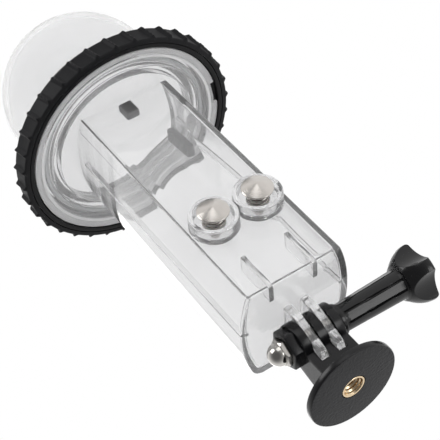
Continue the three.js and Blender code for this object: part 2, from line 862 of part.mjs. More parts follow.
// Cap nut in the pocket of the left prong
function acornNut() {
  const base = -(prongOuterX + nutBossLength - nutPocketDepth + seatGap);
  const shoulder = base - nutHexLength;
  const tip = arcPoints(0, shoulder, nutDomeRadius, 0, -Math.PI / 2, arcFacets);
  tip[arcFacets][0] = 0;
  const dome = turned([[0, base], [nutDomeRadius, base], ...tip], boreFacets * 2);
  const hex = prism(hexagon(nutFlats), shoulder, base);
  const bore = cylinderProfile(boreRadius, screwTipX - seatGap, base + overrun);
  const nut = solid(alongX(hex)).add(solid(flipped(alongX(dome)))).subtract(solid(alongX(turned(bore, boreFacets))));
  return geometryOf(nut).translate(0, hingeY, hingeHeight);
}

// Turns a geometry's faces over
function flipped(geometry) {
  const index = geometry.index.array;
  for (let i = 0; i < index.length; i += 3) {
    const held = index[i + 1];
    index[i + 1] = index[i + 2];
    index[i + 2] = held;
  }
  return geometry;
}

function thumbScrew() {
  return alongX(turned(cylinderProfile(screwRadius, screwTipX, screwEndX), boreFacets)).translate(0, hingeY, hingeHeight);
}

// Profile of the knob's flare: its radius grows fast at the neck and levels out at the rim
function knobFlare() {
  const profile = [];
  for (let i = 0; i <= arcFacets; i += 1) {
    const alongShare = i / arcFacets;
    const outShare = alongShare * (2 - alongShare);
    profile.push([
      knobNeckRadius + (knobRadius - knobNeckRadius) * outShare,
      shaftEndX + knobFlareLength * alongShare,
    ]);
  }
  return profile;
}

// Handle of the thumb screw: shaft with four bars between grooves, and flared four-lobed knob
function thumbKnob() {
  const start = prongOuterX + seatGap;
  const profile = [
    [0, start],
    [collarRadius, start],
    [collarRadius, start + collarLength],
    [shaftStartRadius, start + collarLength],
    [shaftEndRadius, shaftEndX],
    ...knobFlare(),
    [knobRadius, knobEndX - knobRimLength],
    [knobRadius - knobRimLength / 2, knobEndX],
    [knobDishRadius, knobEndX],
    [knobDishRadius - knobDishDepth / 2, knobEndX - knobDishDepth],
    [0, knobEndX - knobDishDepth],
  ];
  let knob = solid(turned(profile, 2 * boreFacets));
  for (let i = 0; i < lobeCount; i += 1) {
    const angle = knobTurn + (2 * Math.PI * i) / lobeCount;
    const reach = knobValleyRadius + knobScallopRadius;
    const cut = turned(cylinderProfile(knobScallopRadius, shaftEndX + overrun, knobEndX + overrun), boreFacets * 2);
    knob = knob.subtract(solid(cut.translate(reach * Math.cos(angle), reach * Math.sin(angle), 0)));
  }
  for (let i = 0; i < lobeCount; i += 1) {
    const from = start + collarLength + grooveMargin;
    const length = shaftEndX - grooveMargin - from;
    for (const side of [-1, 1]) {
      const groove = new THREE.BoxGeometry(shaftEndRadius, grooveWidth, length);
      const reach = (shaftStartRadius + shaftEndRadius) / 2 - grooveDepth + shaftEndRadius / 2;
      groove.translate(reach, (side * (barWidth + grooveWidth)) / 2, from + length / 2);
      groove.rotateZ(barTurn + (2 * Math.PI * i) / lobeCount);
      knob = knob.subtract(solid(groove));
    }
  }
  const bore = cylinderProfile(boreRadius, start - overrun, screwEndX + seatGap);
  knob = knob.subtract(solid(turned(bore, boreFacets)));
  return alongX(geometryOf(knob)).translate(0, hingeY, hingeHeight);
}

const housing = new THREE.Group();

function addPart(name, geometry, material, parent = housing) {
  const mesh = new THREE.Mesh(geometry, new THREE.MeshStandardMaterial(materials[material]));
  mesh.name = name;
  parent.add(mesh);
  return mesh;
}

addPart('housing_body', housingBody(), 'clear');
addPart('dome_port', domePort(), 'clear');
addPart('port_seal', portSeal(), 'seal');
addPart('lock_ring', lockRing(), 'ring');
addPart('ring_grip', ringGrip(), 'grip');
addPart('foam_pad_front', frontPad(), 'foam');
addPart('foam_pad_side', sidePad(), 'foam');

for (const [name, side] of [['left', -1], ['right', 1]]) {
  const button = new THREE.Group();
  button.position.set((side * buttonSpacing) / 2, 0, caseBottom + buttonHeight);
  housing.add(button);
  addPart(`button_plunger_${name}`, buttonPlunger(), 'steel', button);
  addPart(`button_spring_${name}`, buttonSpring(), 'steel', button);
  addPart(`button_bush_${name}`, sealBush(), 'nylon', button);
  addPart(`stem_seal_${name}`, stemSeal(), 'seal', button);
  addPart(`stem_clip_${name}`, stemClip(), 'steel', button);
}

addPart('tripod_foot', tripodFoot(), 'plastic');
addPart('threaded_insert', threadedInsert(), 'brass');
addPart('acorn_nut', acornNut(), 'steel');
addPart('thumb_screw', thumbScrew(), 'steel');
addPart('thumb_knob', thumbKnob(), 'plastic');

export default housing;
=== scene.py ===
"""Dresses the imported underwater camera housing: clear mouldings, ribbed rubber, turned steel, grained foot.

Lengths in the classes are millimetres in the CAD frame, and meshes are made in metres. The profile of a
turned piece is a list of (radius, height) corners; an outline is a counter-clockwise list of corners.
"""

import logging
import math
from dataclasses import dataclass
from enum import Enum
from typing import Sequence

import bmesh
import bpy
import numpy as np
from mathutils import Matrix, Vector

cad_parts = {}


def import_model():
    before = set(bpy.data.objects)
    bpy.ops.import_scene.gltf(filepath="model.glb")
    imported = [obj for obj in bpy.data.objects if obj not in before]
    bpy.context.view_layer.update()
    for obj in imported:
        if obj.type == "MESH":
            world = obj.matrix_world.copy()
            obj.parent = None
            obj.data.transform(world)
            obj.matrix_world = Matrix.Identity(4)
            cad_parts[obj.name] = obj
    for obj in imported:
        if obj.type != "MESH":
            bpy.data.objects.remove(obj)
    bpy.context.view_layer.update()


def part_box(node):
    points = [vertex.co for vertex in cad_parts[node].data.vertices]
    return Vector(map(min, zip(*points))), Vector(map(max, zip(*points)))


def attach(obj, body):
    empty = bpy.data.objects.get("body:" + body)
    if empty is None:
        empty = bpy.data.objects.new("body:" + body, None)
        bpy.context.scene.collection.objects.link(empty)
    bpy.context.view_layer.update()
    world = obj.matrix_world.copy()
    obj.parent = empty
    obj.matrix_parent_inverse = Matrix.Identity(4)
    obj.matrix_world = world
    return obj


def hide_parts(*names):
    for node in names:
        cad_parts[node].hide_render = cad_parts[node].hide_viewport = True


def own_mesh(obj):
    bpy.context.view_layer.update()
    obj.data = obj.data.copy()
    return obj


LOG = logging.getLogger("housing")
MM = 0.001
SMOOTH_ANGLE = math.radians(28)
FULL_TURN = 2 * np.pi
POLE = 0.01  # radius at which a turned piece is closed by a fan
CASE_TOP = 124.4
HINGE = (0.8, 19.4)
SCREW_LINE = (0, *HINGE)
FIN_PITCH = 3.05
SCREW_HOLE = 2.7
BUTTON_X = 8.05
BUTTON_Z = 57.9
THREAD = {"height": 1.2, "root": 1.5, "crest": 0.7, "pitch": 3.0, "turns": 1.2}

Points = np.ndarray
Piece = bpy.types.Object
Material = bpy.types.Material
Tree = bpy.types.NodeTree
Node = bpy.types.Node
Socket = bpy.types.NodeSocket
Pair = tuple[float, float]
Triple = tuple[float, float, float]


class Axis(Enum):
    """Direction that a turned or extruded piece, drawn about +Z, is laid along."""

    UP = "up"
    RIGHT = "right"
    FRONT = "front"


class Join(Enum):
    """How one solid is combined with another."""

    UNION = "UNION"
    CUT = "DIFFERENCE"
    COMMON = "INTERSECT"


def laid(points: Points, axis: Axis) -> Points:
    """Turns points drawn about +Z so that +Z becomes the axis.

    Args:
        points: array whose last dimension is x, y, z.
        axis: direction that +Z is turned to.

    Returns:
        The turned points, right-handed as before.
    """
    x, y, z = points[..., 0], points[..., 1], points[..., 2]
    if axis is Axis.RIGHT:
        return np.stack([z, y, -x], axis=-1)
    if axis is Axis.FRONT:
        return np.stack([x, -z, y], axis=-1)
    return points


def circled(radius: Points | float, angle: Points, level: Points | float = 0.0) -> Points:
    """Points (radius * cos angle, radius * sin angle, level), with the angle in radians."""
    return np.stack(np.broadcast_arrays(radius * np.cos(angle), radius * np.sin(angle), level), axis=-1)


def arc(centre: Sequence[float], radius: float, start: float, end: float, count: int) -> Points:
    """Points of a circular arc: centre + radius * (cos, sin) of angles spread evenly in degrees.

    Args:
        centre: two coordinates.
        radius: radius of the arc.
        start: first angle in degrees.
        end: last angle in degrees.
        count: number of points.

    Returns:
        Array of count by 2.
    """
    return np.array(centre, float) + circled(radius, np.radians(np.linspace(start, end, count)))[:, :2]


def off_step(angle: Points, count: int) -> Points:
    """Distance of an angle from the nearest of count equal steps round, -0.5 to 0.5 of a step."""
    return (angle * count / FULL_TURN + 0.5) % 1 - 0.5


def rounded(corners: Sequence[Sequence[float]], radius: float, count: int = 5) -> Points:
    """Closed polyline whose corners are rounded by short quadratic curves.

    Each corner P with neighbours A and B becomes (1-t)^2 P1 + 2t(1-t) P + t^2 P2, where P1 and P2 lie
    the radius along its two sides, or four tenths of the side if that is shorter.

    Args:
        corners: the polyline's corners.
        radius: length taken from each side at a corner.
        count: points on each curve.

    Returns:
        Array of the closed polyline's points, without repeating the first.
    """
    corner = np.array(corners, float)
    ends = []
    for shift in (1, -1):
        side = np.roll(corner, shift, axis=0) - corner
        length = np.linalg.norm(side, axis=1, keepdims=True)
        ends.append((corner + side / length * np.minimum(radius, 0.4 * length))[:, None])
    t = np.linspace(0, 1, count)[None, :, None]
    curve = (1 - t) ** 2 * ends[0] + 2 * t * (1 - t) * corner[:, None] + t**2 * ends[1]
    return curve.reshape(-1, 2)


def mesh_object(name: str, vertices: Points, faces: Sequence[Sequence[int]]) -> Piece:
    """Makes an object from millimetre vertices, with doubles merged and faces pointing outwards.

    Args:
        name: name of the object and its mesh.
        vertices: array of n by 3 in millimetres.
        faces: lists of vertex indices.

    Returns:
        The linked object, at the origin.
    """
    mesh = bpy.data.meshes.new(name)
    mesh.from_pydata((vertices.reshape(-1, 3) * MM).tolist(), [], faces)
    work = bmesh.new()
    work.from_mesh(mesh)
    bmesh.ops.remove_doubles(work, verts=work.verts, dist=1e-7)
    bmesh.ops.recalc_face_normals(work, faces=work.faces)
    work.to_mesh(mesh)
    work.free()
    obj = bpy.data.objects.new(name, mesh)
    bpy.context.scene.collection.objects.link(obj)
    return obj


def grid_object(name: str, grid: Points, closed_rows: bool = False) -> Piece:
    """Closed surface from a grid of points: columns go round, and open ends are closed by fans.

    Args:
        name: name of the object.
        grid: array of rows by columns by 3.
        closed_rows: whether the last row joins the first, as on a ring.

    Returns:
        The object.
    """
    rows, columns = grid.shape[:2]
    around = np.arange(columns)
    aside = (around + 1) % columns
    row = np.arange(rows if closed_rows else rows - 1)[:, None]
    this, follow = row * columns, (row + 1) % rows * columns
    quads = np.stack([this + around, this + aside, follow + aside, follow + around], axis=-1)
    vertices, faces = grid.reshape(-1, 3), quads.reshape(-1, 4).tolist()
    if not closed_rows:
        vertices = np.concatenate([vertices, [grid[0].mean(axis=0), grid[-1].mean(axis=0)]])
        first, last = np.full(columns, rows * columns), np.full(columns, rows * columns + 1)
        base = (rows - 1) * columns
        faces += np.stack([first, aside, around], axis=-1).tolist()
        faces += np.stack([last, base + around, base + aside], axis=-1).tolist()
    return mesh_object(name, vertices, faces)


def turned(
    name: str, profile: Sequence, facets: int, place: Sequence[float] = (0, 0, 0), axis: Axis = Axis.UP,
    ring: bool = False,
) -> Piece:
    """Surface of revolution: (r cos a, r sin a, h) for each profile point (r, h) and each angle a.

    Args:
        name: name of the object.
        profile: radius and height pairs; it starts and ends at a small radius, or closes as a ring.
        facets: number of steps round.
        place: point that the origin is moved to.
        axis: direction of the axis of revolution.
        ring: whether the profile is closed.

    Returns:
        The object.
    """
    profile = np.array(profile, float)
    angle = np.linspace(0, FULL_TURN, facets, endpoint=False)[None, :]
    grid = circled(profile[:, 0:1], angle, profile[:, 1:2])
    return grid_object(name, laid(grid, axis) + np.array(place, float), ring)


def drill(
    name: str, radius: float, low: float, high: float, facets: int, place: Sequence[float],
    axis: Axis = Axis.RIGHT,
) -> Piece:
    """Round cutter from low to high along its axis."""
    profile = [(POLE, low), (radius, low), (radius, high), (POLE, high)]
    return turned(name, profile, facets, place, axis)


def shrunk(outline: Points, inset: float) -> Points:
    """Moves a closed outline inwards: each point goes along the mean of its two sides' inward normals.

    Args:
        outline: closed polyline, counter-clockwise, n by 2.
        inset: distance to move.

    Returns:
        The moved outline with as many points.
    """
    ahead = np.roll(outline, -1, axis=0) - outline
    ahead /= np.linalg.norm(ahead, axis=1, keepdims=True)
    normal = np.stack([-ahead[:, 1], ahead[:, 0]], axis=-1)
    mean = normal + np.roll(normal, 1, axis=0)
    mean /= np.maximum(np.linalg.norm(mean, axis=1, keepdims=True), 1e-9)
    stretch = 1 / np.maximum((mean * normal).sum(axis=1, keepdims=True), 0.6)
    return outline + inset * stretch * mean


def stacked(outlines: Sequence[Points], levels: Sequence[float]) -> Points:
    """Grid whose rows are outlines of equal length, each at its level."""
    return np.stack([np.column_stack([row, np.full(len(row), z)]) for row, z in zip(outlines, levels)])


def extruded(
    name: str, outline: Points, low: float, high: float, edge: float, place: Sequence[float] = (0, 0, 0),
    axis: Axis = Axis.UP, steps: int = 4,
) -> Piece:
    """Prism with rounded rims: rows shrunk by e(1 - sin a) at a height of e(1 - cos a) from each end.

    Args:
        name: name of the object.
        outline: closed outline, counter-clockwise.
        low: start along the axis.
        high: end along the axis.
        edge: radius of the rims.
        place: point that the origin is moved to.
        axis: direction of the extrusion.
        steps: rows on each rim.

    Returns:
        The object.
    """
    angle = np.linspace(0, np.pi / 2, steps)
    insets = edge * (1 - np.sin(angle))
    rises = edge * (1 - np.cos(angle))
    levels = np.concatenate([low + rises, (high - rises)[::-1]])
    grid = stacked([shrunk(outline, inset) for inset in np.concatenate([insets, insets[::-1]])], levels)
    return grid_object(name, laid(grid, axis) + np.array(place, float))


def plate(name: str, outline: Points, half: float, edge: float, x: float = 0.0) -> Piece:
    """Prism along X whose outline is drawn in Y and Z: the extrusion's (x, y, z) become (y, z, x).

    Args:
        name: name of the object.
        outline: closed outline of (y, z) corners.
        half: half its thickness.
        edge: radius of its rims.
        x: middle of its thickness.

    Returns:
        The object.
    """
    obj = extruded(name, outline, -half, half, edge)
    points = np.array([v.co for v in obj.data.vertices])
    obj.data.vertices.foreach_set("co", (points[:, [2, 0, 1]] + [x * MM, 0, 0]).ravel())
    return obj


def helical_ridge(
    name: str, radius: float, sink: float, start: float, side: int, height: float, root: float, crest: float,
    pitch: float, turns: float,
) -> Piece:
    """Screw ridge: a trapezoid section at height start + pitch * a / 2 pi, which fades out at both ends.

    Args:
        name: name of the object.
        radius: radius of the surface that it stands on.
        sink: how far it reaches into that surface.
        start: height of its first section.
        side: 1 for a ridge that points outwards, -1 for one that points inwards.
        height: how far it stands off.
        root: width at the surface.
        crest: width at the top.
        pitch: rise per turn.
        turns: number of turns.

    Returns:
        The object.
    """
    angle = np.linspace(0, FULL_TURN * turns, int(120 * turns))[:, None]
    fade = np.clip(np.minimum(angle, angle[-1] - angle) / 0.25, 0.02, 1)
    offset = np.array([-sink, height, height, -sink])[None, :]
    width = np.array([-root, -crest, crest, root])[None, :] / 2
    reach = radius + side * np.where(offset > 0, offset * fade, offset)
    return grid_object(name, circled(reach, angle, start + pitch * angle / FULL_TURN + width))


def swept(name: str, path: Points, radius: float, sides: int) -> Piece:
    """Round wire along a path: centre + radius * (cos a * outward + sin a * sideways) at each point.

    Args:
        name: name of the object.
        path: points of the wire's middle.
        radius: half the wire's thickness.
        sides: points round the wire.

    Returns:
        The object.
    """
    forward = np.gradient(path, axis=0)
    forward /= np.linalg.norm(forward, axis=1, keepdims=True)
    outward = path - path.mean(axis=0)
    outward -= (outward * forward).sum(axis=1, keepdims=True) * forward
    outward /= np.linalg.norm(outward, axis=1, keepdims=True)
    sideways = np.cross(forward, outward)
    angle = np.linspace(0, FULL_TURN, sides, endpoint=False)[None, :, None]
    section = np.cos(angle) * outward[:, None] + np.sin(angle) * sideways[:, None]
    return grid_object(name, path[:, None] + radius * section)


def joined(base: Piece, others: Sequence[Piece], how: Join) -> Piece:
    """Combines solids for good and removes the others.

    Args:
        base: the object that stays.
        others: the solids that are added, cut away or intersected, one after the other.
        how: what is done with them.

    Returns:
        The base with its new mesh.
    """
    for other in others:
        modifier = base.modifiers.new(how.value, "BOOLEAN")
        modifier.operation = how.value
        modifier.object = other
        modifier.solver = "MANIFOLD"
    shape = bpy.data.meshes.new_from_object(base.evaluated_get(bpy.context.evaluated_depsgraph_get()))
    if not shape.polygons:
        raise ValueError(f"{base.name}: nothing is left after {how.value}")
    base.modifiers.clear()
    base.data = shape
    for other in others:
        bpy.data.objects.remove(other)
    return base


def feed(tree: Tree, socket: Socket, value: object) -> None:
    """Sets or links one input socket.

    Args:
        tree: the tree that holds it.
        socket: the input.
        value: a Signal or an output to link, or a plain value.
    """
    if isinstance(value, Signal):
        value = value.socket
    if isinstance(value, Socket):
        tree.links.new(value, socket)
    else:
        socket.default_value = value


def added(tree: Tree, kind: str, settings: dict | None = None, inputs: dict | None = None) -> Node:
    """Adds any node.

    Args:
        tree: the tree that gets it.
        kind: the node's type.
        settings: its settings, set first.
        inputs: values, Signals or outputs by input name or number.

    Returns:
        The node.
    """
    node = tree.nodes.new(kind)
    for key, value in (settings or {}).items():
        setattr(node, key, value)
    for key, value in (inputs or {}).items():
        feed(tree, node.inputs[key], value)
    return node


@dataclass(frozen=True)
class Signal:
    """A number that a node gives out, which Python arithmetic turns into Math nodes."""

    tree: Tree
    socket: Socket

    def math(self, operation: str, other: "Signal | float", swap: bool = False) -> "Signal":
        """Adds one Math node.

        Args:
            operation: the node's operation.
            other: its further input.
            swap: whether this signal is the second input.

        Returns:
            The node's result.
        """
        first, second = (other, self) if swap else (self, other)
        node = added(self.tree, "ShaderNodeMath", {"operation": operation}, {0: first, 1: second})
        return Signal(self.tree, node.outputs[0])

    def __add__(self, other: "Signal | float") -> "Signal":
        """Sum."""
        return self.math("ADD", other)

    __radd__ = __add__

    def __sub__(self, other: "Signal | float") -> "Signal":
        """Difference."""
        return self.math("SUBTRACT", other)

    def __rsub__(self, other: float) -> "Signal":
        """Difference from a number."""
        return self.math("SUBTRACT", other, swap=True)

    def __mul__(self, other: "Signal | float") -> "Signal":
        """Product."""
        return self.math("MULTIPLY", other)

    __rmul__ = __mul__

    def __pow__(self, other: float) -> "Signal":
        """Power."""
        return self.math("POWER", other)

    def between(self, low: float, high: float) -> "Signal":
        """Smooth step from 0 at low to 1 at high."""
        settings, inputs = {"interpolation_type": "SMOOTHSTEP"}, {0: self, 1: low, 2: high}
        return Signal(self.tree, added(self.tree, "ShaderNodeMapRange", settings, inputs).outputs[0])


class Palette:
    """Builds one material's nodes."""

    def __init__(self, name: str) -> None:
        """Starts a material with its Principled BSDF and Object coordinates.

        Args:
            name: name of the material.
        """
        self.material = bpy.data.materials.new(name)
        self.material.use_nodes = True
        self.tree = self.material.node_tree
        self.shader = self.tree.nodes["Principled BSDF"]
        self.place = self.node("ShaderNodeTexCoord").outputs["Object"]

    def node(self, kind: str, settings: dict | None = None, inputs: dict | None = None) -> Node:
        """Any node of this material."""
        return added(self.tree, kind, settings, inputs)

    def shade(self, **inputs: object) -> None:
        """Feeds the Principled BSDF; underscores in the names stand for blanks."""
        for key, value in inputs.items():
            feed(self.tree, self.shader.inputs[key.replace("_", " ")], value)

    def noise(self, scale: float, detail: float = 3, stretch: Sequence[float] = (1, 1, 1)) -> Signal:
        """Noise over the object.

        Args:
            scale: cells per metre.
            detail: octaves.
            stretch: one further scale for each axis.

        Returns:
            The noise, 0 to 1.
        """
        mapped = self.node("ShaderNodeMapping", None, {"Vector": self.place, "Scale": stretch}).outputs[0]
        made = self.node("ShaderNodeTexNoise", None, {"Vector": mapped, "Scale": scale, "Detail": detail})
        return Signal(self.tree, made.outputs[0])

    def cells(self, scale: float, feature: str = "F1") -> Signal:
        """Distance to the nearest point of a cell pattern."""
        made = self.node("ShaderNodeTexVoronoi", {"feature": feature}, {"Vector": self.place, "Scale": scale})
        return Signal(self.tree, made.outputs["Distance"])

    def coordinate(self, centre: Sequence[float] = (0, 0, 0)) -> tuple[Signal, Signal, Signal]:
        """The three Object coordinates in millimetres, measured from a centre in millimetres."""
        parts = self.node("ShaderNodeSeparateXYZ", None, {0: self.place})
        return tuple(Signal(self.tree, parts.outputs[i]) * (1 / MM) - centre[i] for i in range(3))

    def mixed(self, factor: Signal, first: Sequence[float], second: Sequence[float]) -> Socket:
        """Colour between two colours."""
        inputs = {0: factor, 6: (*first, 1), 7: (*second, 1)}
        return self.node("ShaderNodeMix", {"data_type": "RGBA"}, inputs).outputs[2]

    def bump(self, height: Signal, distance: float, strength: float = 1) -> None:
        """Adds a bump whose height of 1 stands for a distance in millimetres."""
        inputs = {"Strength": strength, "Distance": distance * MM, "Height": height}
        self.shade(Normal=self.node("ShaderNodeBump", None, inputs).outputs[0])

    def finish(self, factor: Signal, first: Node, second: Node) -> None:
        """Ends the material in a mix of two shaders."""
        mix = self.node("ShaderNodeMixShader", None, {0: factor, 1: first.outputs[0], 2: second.outputs[0]})
        feed(self.tree, self.tree.nodes["Material Output"].inputs[0], mix.outputs[0])


def toned(colour: Sequence[float], share: float, lift: float = 0.0) -> tuple[float, ...]:
    """A colour times a share, plus a lift."""
    return tuple(share * c + lift for c in colour)


@dataclass(frozen=True)
class ClearPlastic:
    """Polished clear plastic with a faint haze, handling marks and flow lines, matt about its thread."""

    name: str = "clear_polycarbonate"
    tint: Triple = (0.96, 0.96, 0.964)
    matt_tint: Triple = (0.96, 0.96, 0.965)
    body: float = 0.89
    index: float = 1.49
    frost: float = 0.88
    matt_radius: Pair = (32.4, 33.2)
    matt_level: Pair = (124.5, 124.9)

    def make(self) -> Material:
        """Builds the material.

        Returns:
            The material.
        """
        p = Palette(self.name)
        haze = p.noise(55, 4)
        scuffs = p.noise(900, 2, (1, 1, 0.06)).between(0.62, 0.78)
        p.shade(
            Base_Color=p.mixed(haze, self.tint, toned(self.tint, 0.985)),
            Roughness=0.015 + 0.03 * haze + 0.05 * scuffs,
            Transmission_Weight=self.body,
            IOR=self.index,
        )
        p.bump(p.noise(90, 2), 0.003, 0.35)
        x, y, z = p.coordinate()
        threaded = ((x * x + y * y) ** 0.5).between(*self.matt_radius) * z.between(*self.matt_level)
        dull = {"Base Color": (*self.matt_tint, 1), "Roughness": 0.6}
        matt = p.node("ShaderNodeBsdfPrincipled", None, dull)
        p.finish(threaded * (self.frost + 0.2 * (haze - 0.5)), p.shader, matt)
        return p.material


@dataclass(frozen=True)
class Silicone:
    """Milky soft seal."""

    name: str = "silicone"
    colour: Triple = (0.78, 0.8, 0.81)

    def make(self) -> Material:
        """Builds the material.

        Returns:
            The material.
        """
        p = Palette(self.name)
        p.shade(
            Base_Color=p.mixed(p.noise(300), self.colour, toned(self.colour, 0.9)),
            Roughness=0.3 + 0.15 * p.noise(600),
            Transmission_Weight=0.75,
            IOR=1.41,
        )
        return p.material


@dataclass(frozen=True)
class BlackMoulding:
    """Black moulded plastic or rubber: fine grain, slight waviness, paler rubbed marks."""

    name: str
    colour: Triple
    roughness: float
    grain: float
    wave: float
    gloss: float

    def make(self) -> Material:
        """Builds the material.

        Returns:
            The material.
        """
        p = Palette(self.name)
        broad, fine = p.noise(70, 3), p.noise(2600, 2)
        marks = p.noise(500, 3, (1, 1, 0.15)).between(0.6, 0.8)
        p.shade(
            Base_Color=p.mixed(broad * 0.6 + marks * 0.4, self.colour, toned(self.colour, 1.5, 0.002)),
            Roughness=self.roughness + 0.1 * (broad - 0.5) + 0.08 * marks,
            Specular_IOR_Level=self.gloss,
            IOR=1.5,
        )
        p.bump(broad * self.wave * 10 + fine * self.grain, 0.1)
        return p.material


@dataclass(frozen=True)
class FootPlastic:
    """Half-gloss black moulding whose flat underside carries a leather-like grain."""

    name: str = "foot_plastic"
    colour: Triple = (0.007, 0.007, 0.0078)
    face: Triple = (0.019, 0.019, 0.0205)
    face_level: Pair = (0.05, 0.3)

    def make(self) -> Material:
        """Builds the material.

        Returns:
            The material.
        """
        p = Palette(self.name)
        under = 1 - p.coordinate()[2].between(*self.face_level)
        pebbles = p.cells(1500, "SMOOTH_F1") * 1.2 + p.noise(900, 4) * 0.5
        broad = p.noise(60, 3)
        p.shade(
            Base_Color=p.mixed(under * (0.7 + 0.6 * pebbles), self.colour, self.face),
            Roughness=0.2 + 0.08 * broad + under * 0.34,
            Specular_IOR_Level=0.3,
            IOR=1.5,
        )
        p.bump(broad * 0.1 + under * pebbles, 0.14)
        return p.material


@dataclass(frozen=True)
class Metal:
    """Metal with turning lines round an axis, fine pitting and slight staining."""

    name: str
    colour: Triple
    roughness: float
    lines: float = 0.0
    centre: Sequence[float] = (0.0, 0.0, 0.0)
    axis: Axis = Axis.UP

    def make(self) -> Material:
        """Builds the material; the turning lines are ridges of noise over radius and height.

        Returns:
            The material.
        """
        p = Palette(self.name)
        x, y, z = p.coordinate(self.centre)
        along, first, second = {Axis.UP: (z, x, y), Axis.RIGHT: (x, y, z), Axis.FRONT: (y, x, z)}[self.axis]
        radius = (first * first + second * second) ** 0.5
        ring = p.node("ShaderNodeCombineXYZ", None, {0: radius, 1: along}).outputs[0]
        made = p.node("ShaderNodeTexNoise", None, {"Vector": ring, "Scale": 9.0, "Detail": 3.0})
        turning = Signal(p.tree, made.outputs[0])
        stain = p.noise(220, 4)
        p.shade(
            Base_Color=p.mixed(stain, self.colour, toned(self.colour, 0.82)),
            Metallic=1.0,
            Roughness=self.roughness + 0.12 * (stain - 0.5) + 0.1 * (turning - 0.5),
        )
        p.bump(turning * self.lines + p.noise(2500) * 0.06, 0.06)
        return p.material


@dataclass(frozen=True)
class Foam:
    """Closed-cell grey foam with visible pores."""

    name: str = "grey_foam"
    colour: Triple = (0.068, 0.068, 0.072)

    def make(self) -> Material:
        """Builds the material.

        Returns:
            The material.
        """
        p = Palette(self.name)
        pores = p.cells(2300)
        p.shade(
            Base_Color=p.mixed(pores, toned(self.colour, 0.7), toned(self.colour, 1.35)),
            Roughness=0.95,
            Sheen_Weight=0.15,
        )
        p.bump(pores + p.noise(400) * 0.5, 0.25)
        return p.material


@dataclass(frozen=True)
class Nylon:
    """Off-white nylon with a waxy skin."""

    name: str = "white_nylon"
    pale: Triple = (0.74, 0.73, 0.7)
    dull: Triple = (0.64, 0.63, 0.6)

    def make(self) -> Material:
        """Builds the material.

        Returns:
            The material.
        """
        p = Palette(self.name)
        p.shade(
            Base_Color=p.mixed(p.noise(300), self.pale, self.dull),
            Roughness=0.4 + 0.15 * p.noise(700),
            Subsurface_Weight=0.1,
            Subsurface_Scale=0.0005,
        )
        return p.material


class Finishes:
    """The materials that several pieces share, each made once."""

    def __init__(self) -> None:
        """Makes them; a moulding's numbers are its roughness, grain, wave and gloss."""
        self.clear = ClearPlastic().make()
        self.silicone = Silicone().make()
        self.ring = BlackMoulding("ring_plastic", (0.006, 0.006, 0.0065), 0.4, 0.12, 0.02, 0.14).make()
        self.rubber = BlackMoulding("grip_rubber", (0.0065, 0.0065, 0.0075), 0.5, 0.3, 0.03, 0.14).make()
        self.knob = BlackMoulding("knob_plastic", (0.0075, 0.0075, 0.008), 0.18, 0.05, 0.02, 0.36).make()
        self.foot = FootPlastic().make()
        self.foam = Foam().make()
        self.nylon = Nylon().make()
        self.wire = Metal("spring_wire", (0.4, 0.38, 0.36), 0.24).make()


def dressed(
    piece: Piece, body: str, material: Material, node: str, angle: float = SMOOTH_ANGLE
) -> Piece:
    """Smooths a finished piece, gives it its material and body, and hides the CAD node that it stands for.

    Args:
        piece: the object.
        body: name of the CAD body that carries it.
        material: its material.
        node: the CAD node that it stands for.
        angle: angle in radians past which an edge stays sharp.

    Returns:
        The piece.
    """
    piece.data.shade_smooth()
    piece.data.set_sharp_from_angle(angle=angle)
    piece.data.materials.clear()
    piece.data.materials.append(material)
    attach(piece, body)
    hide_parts(node)
    LOG.info("%s: %d faces on %s", piece.name, len(piece.data.polygons), body)
    return piece


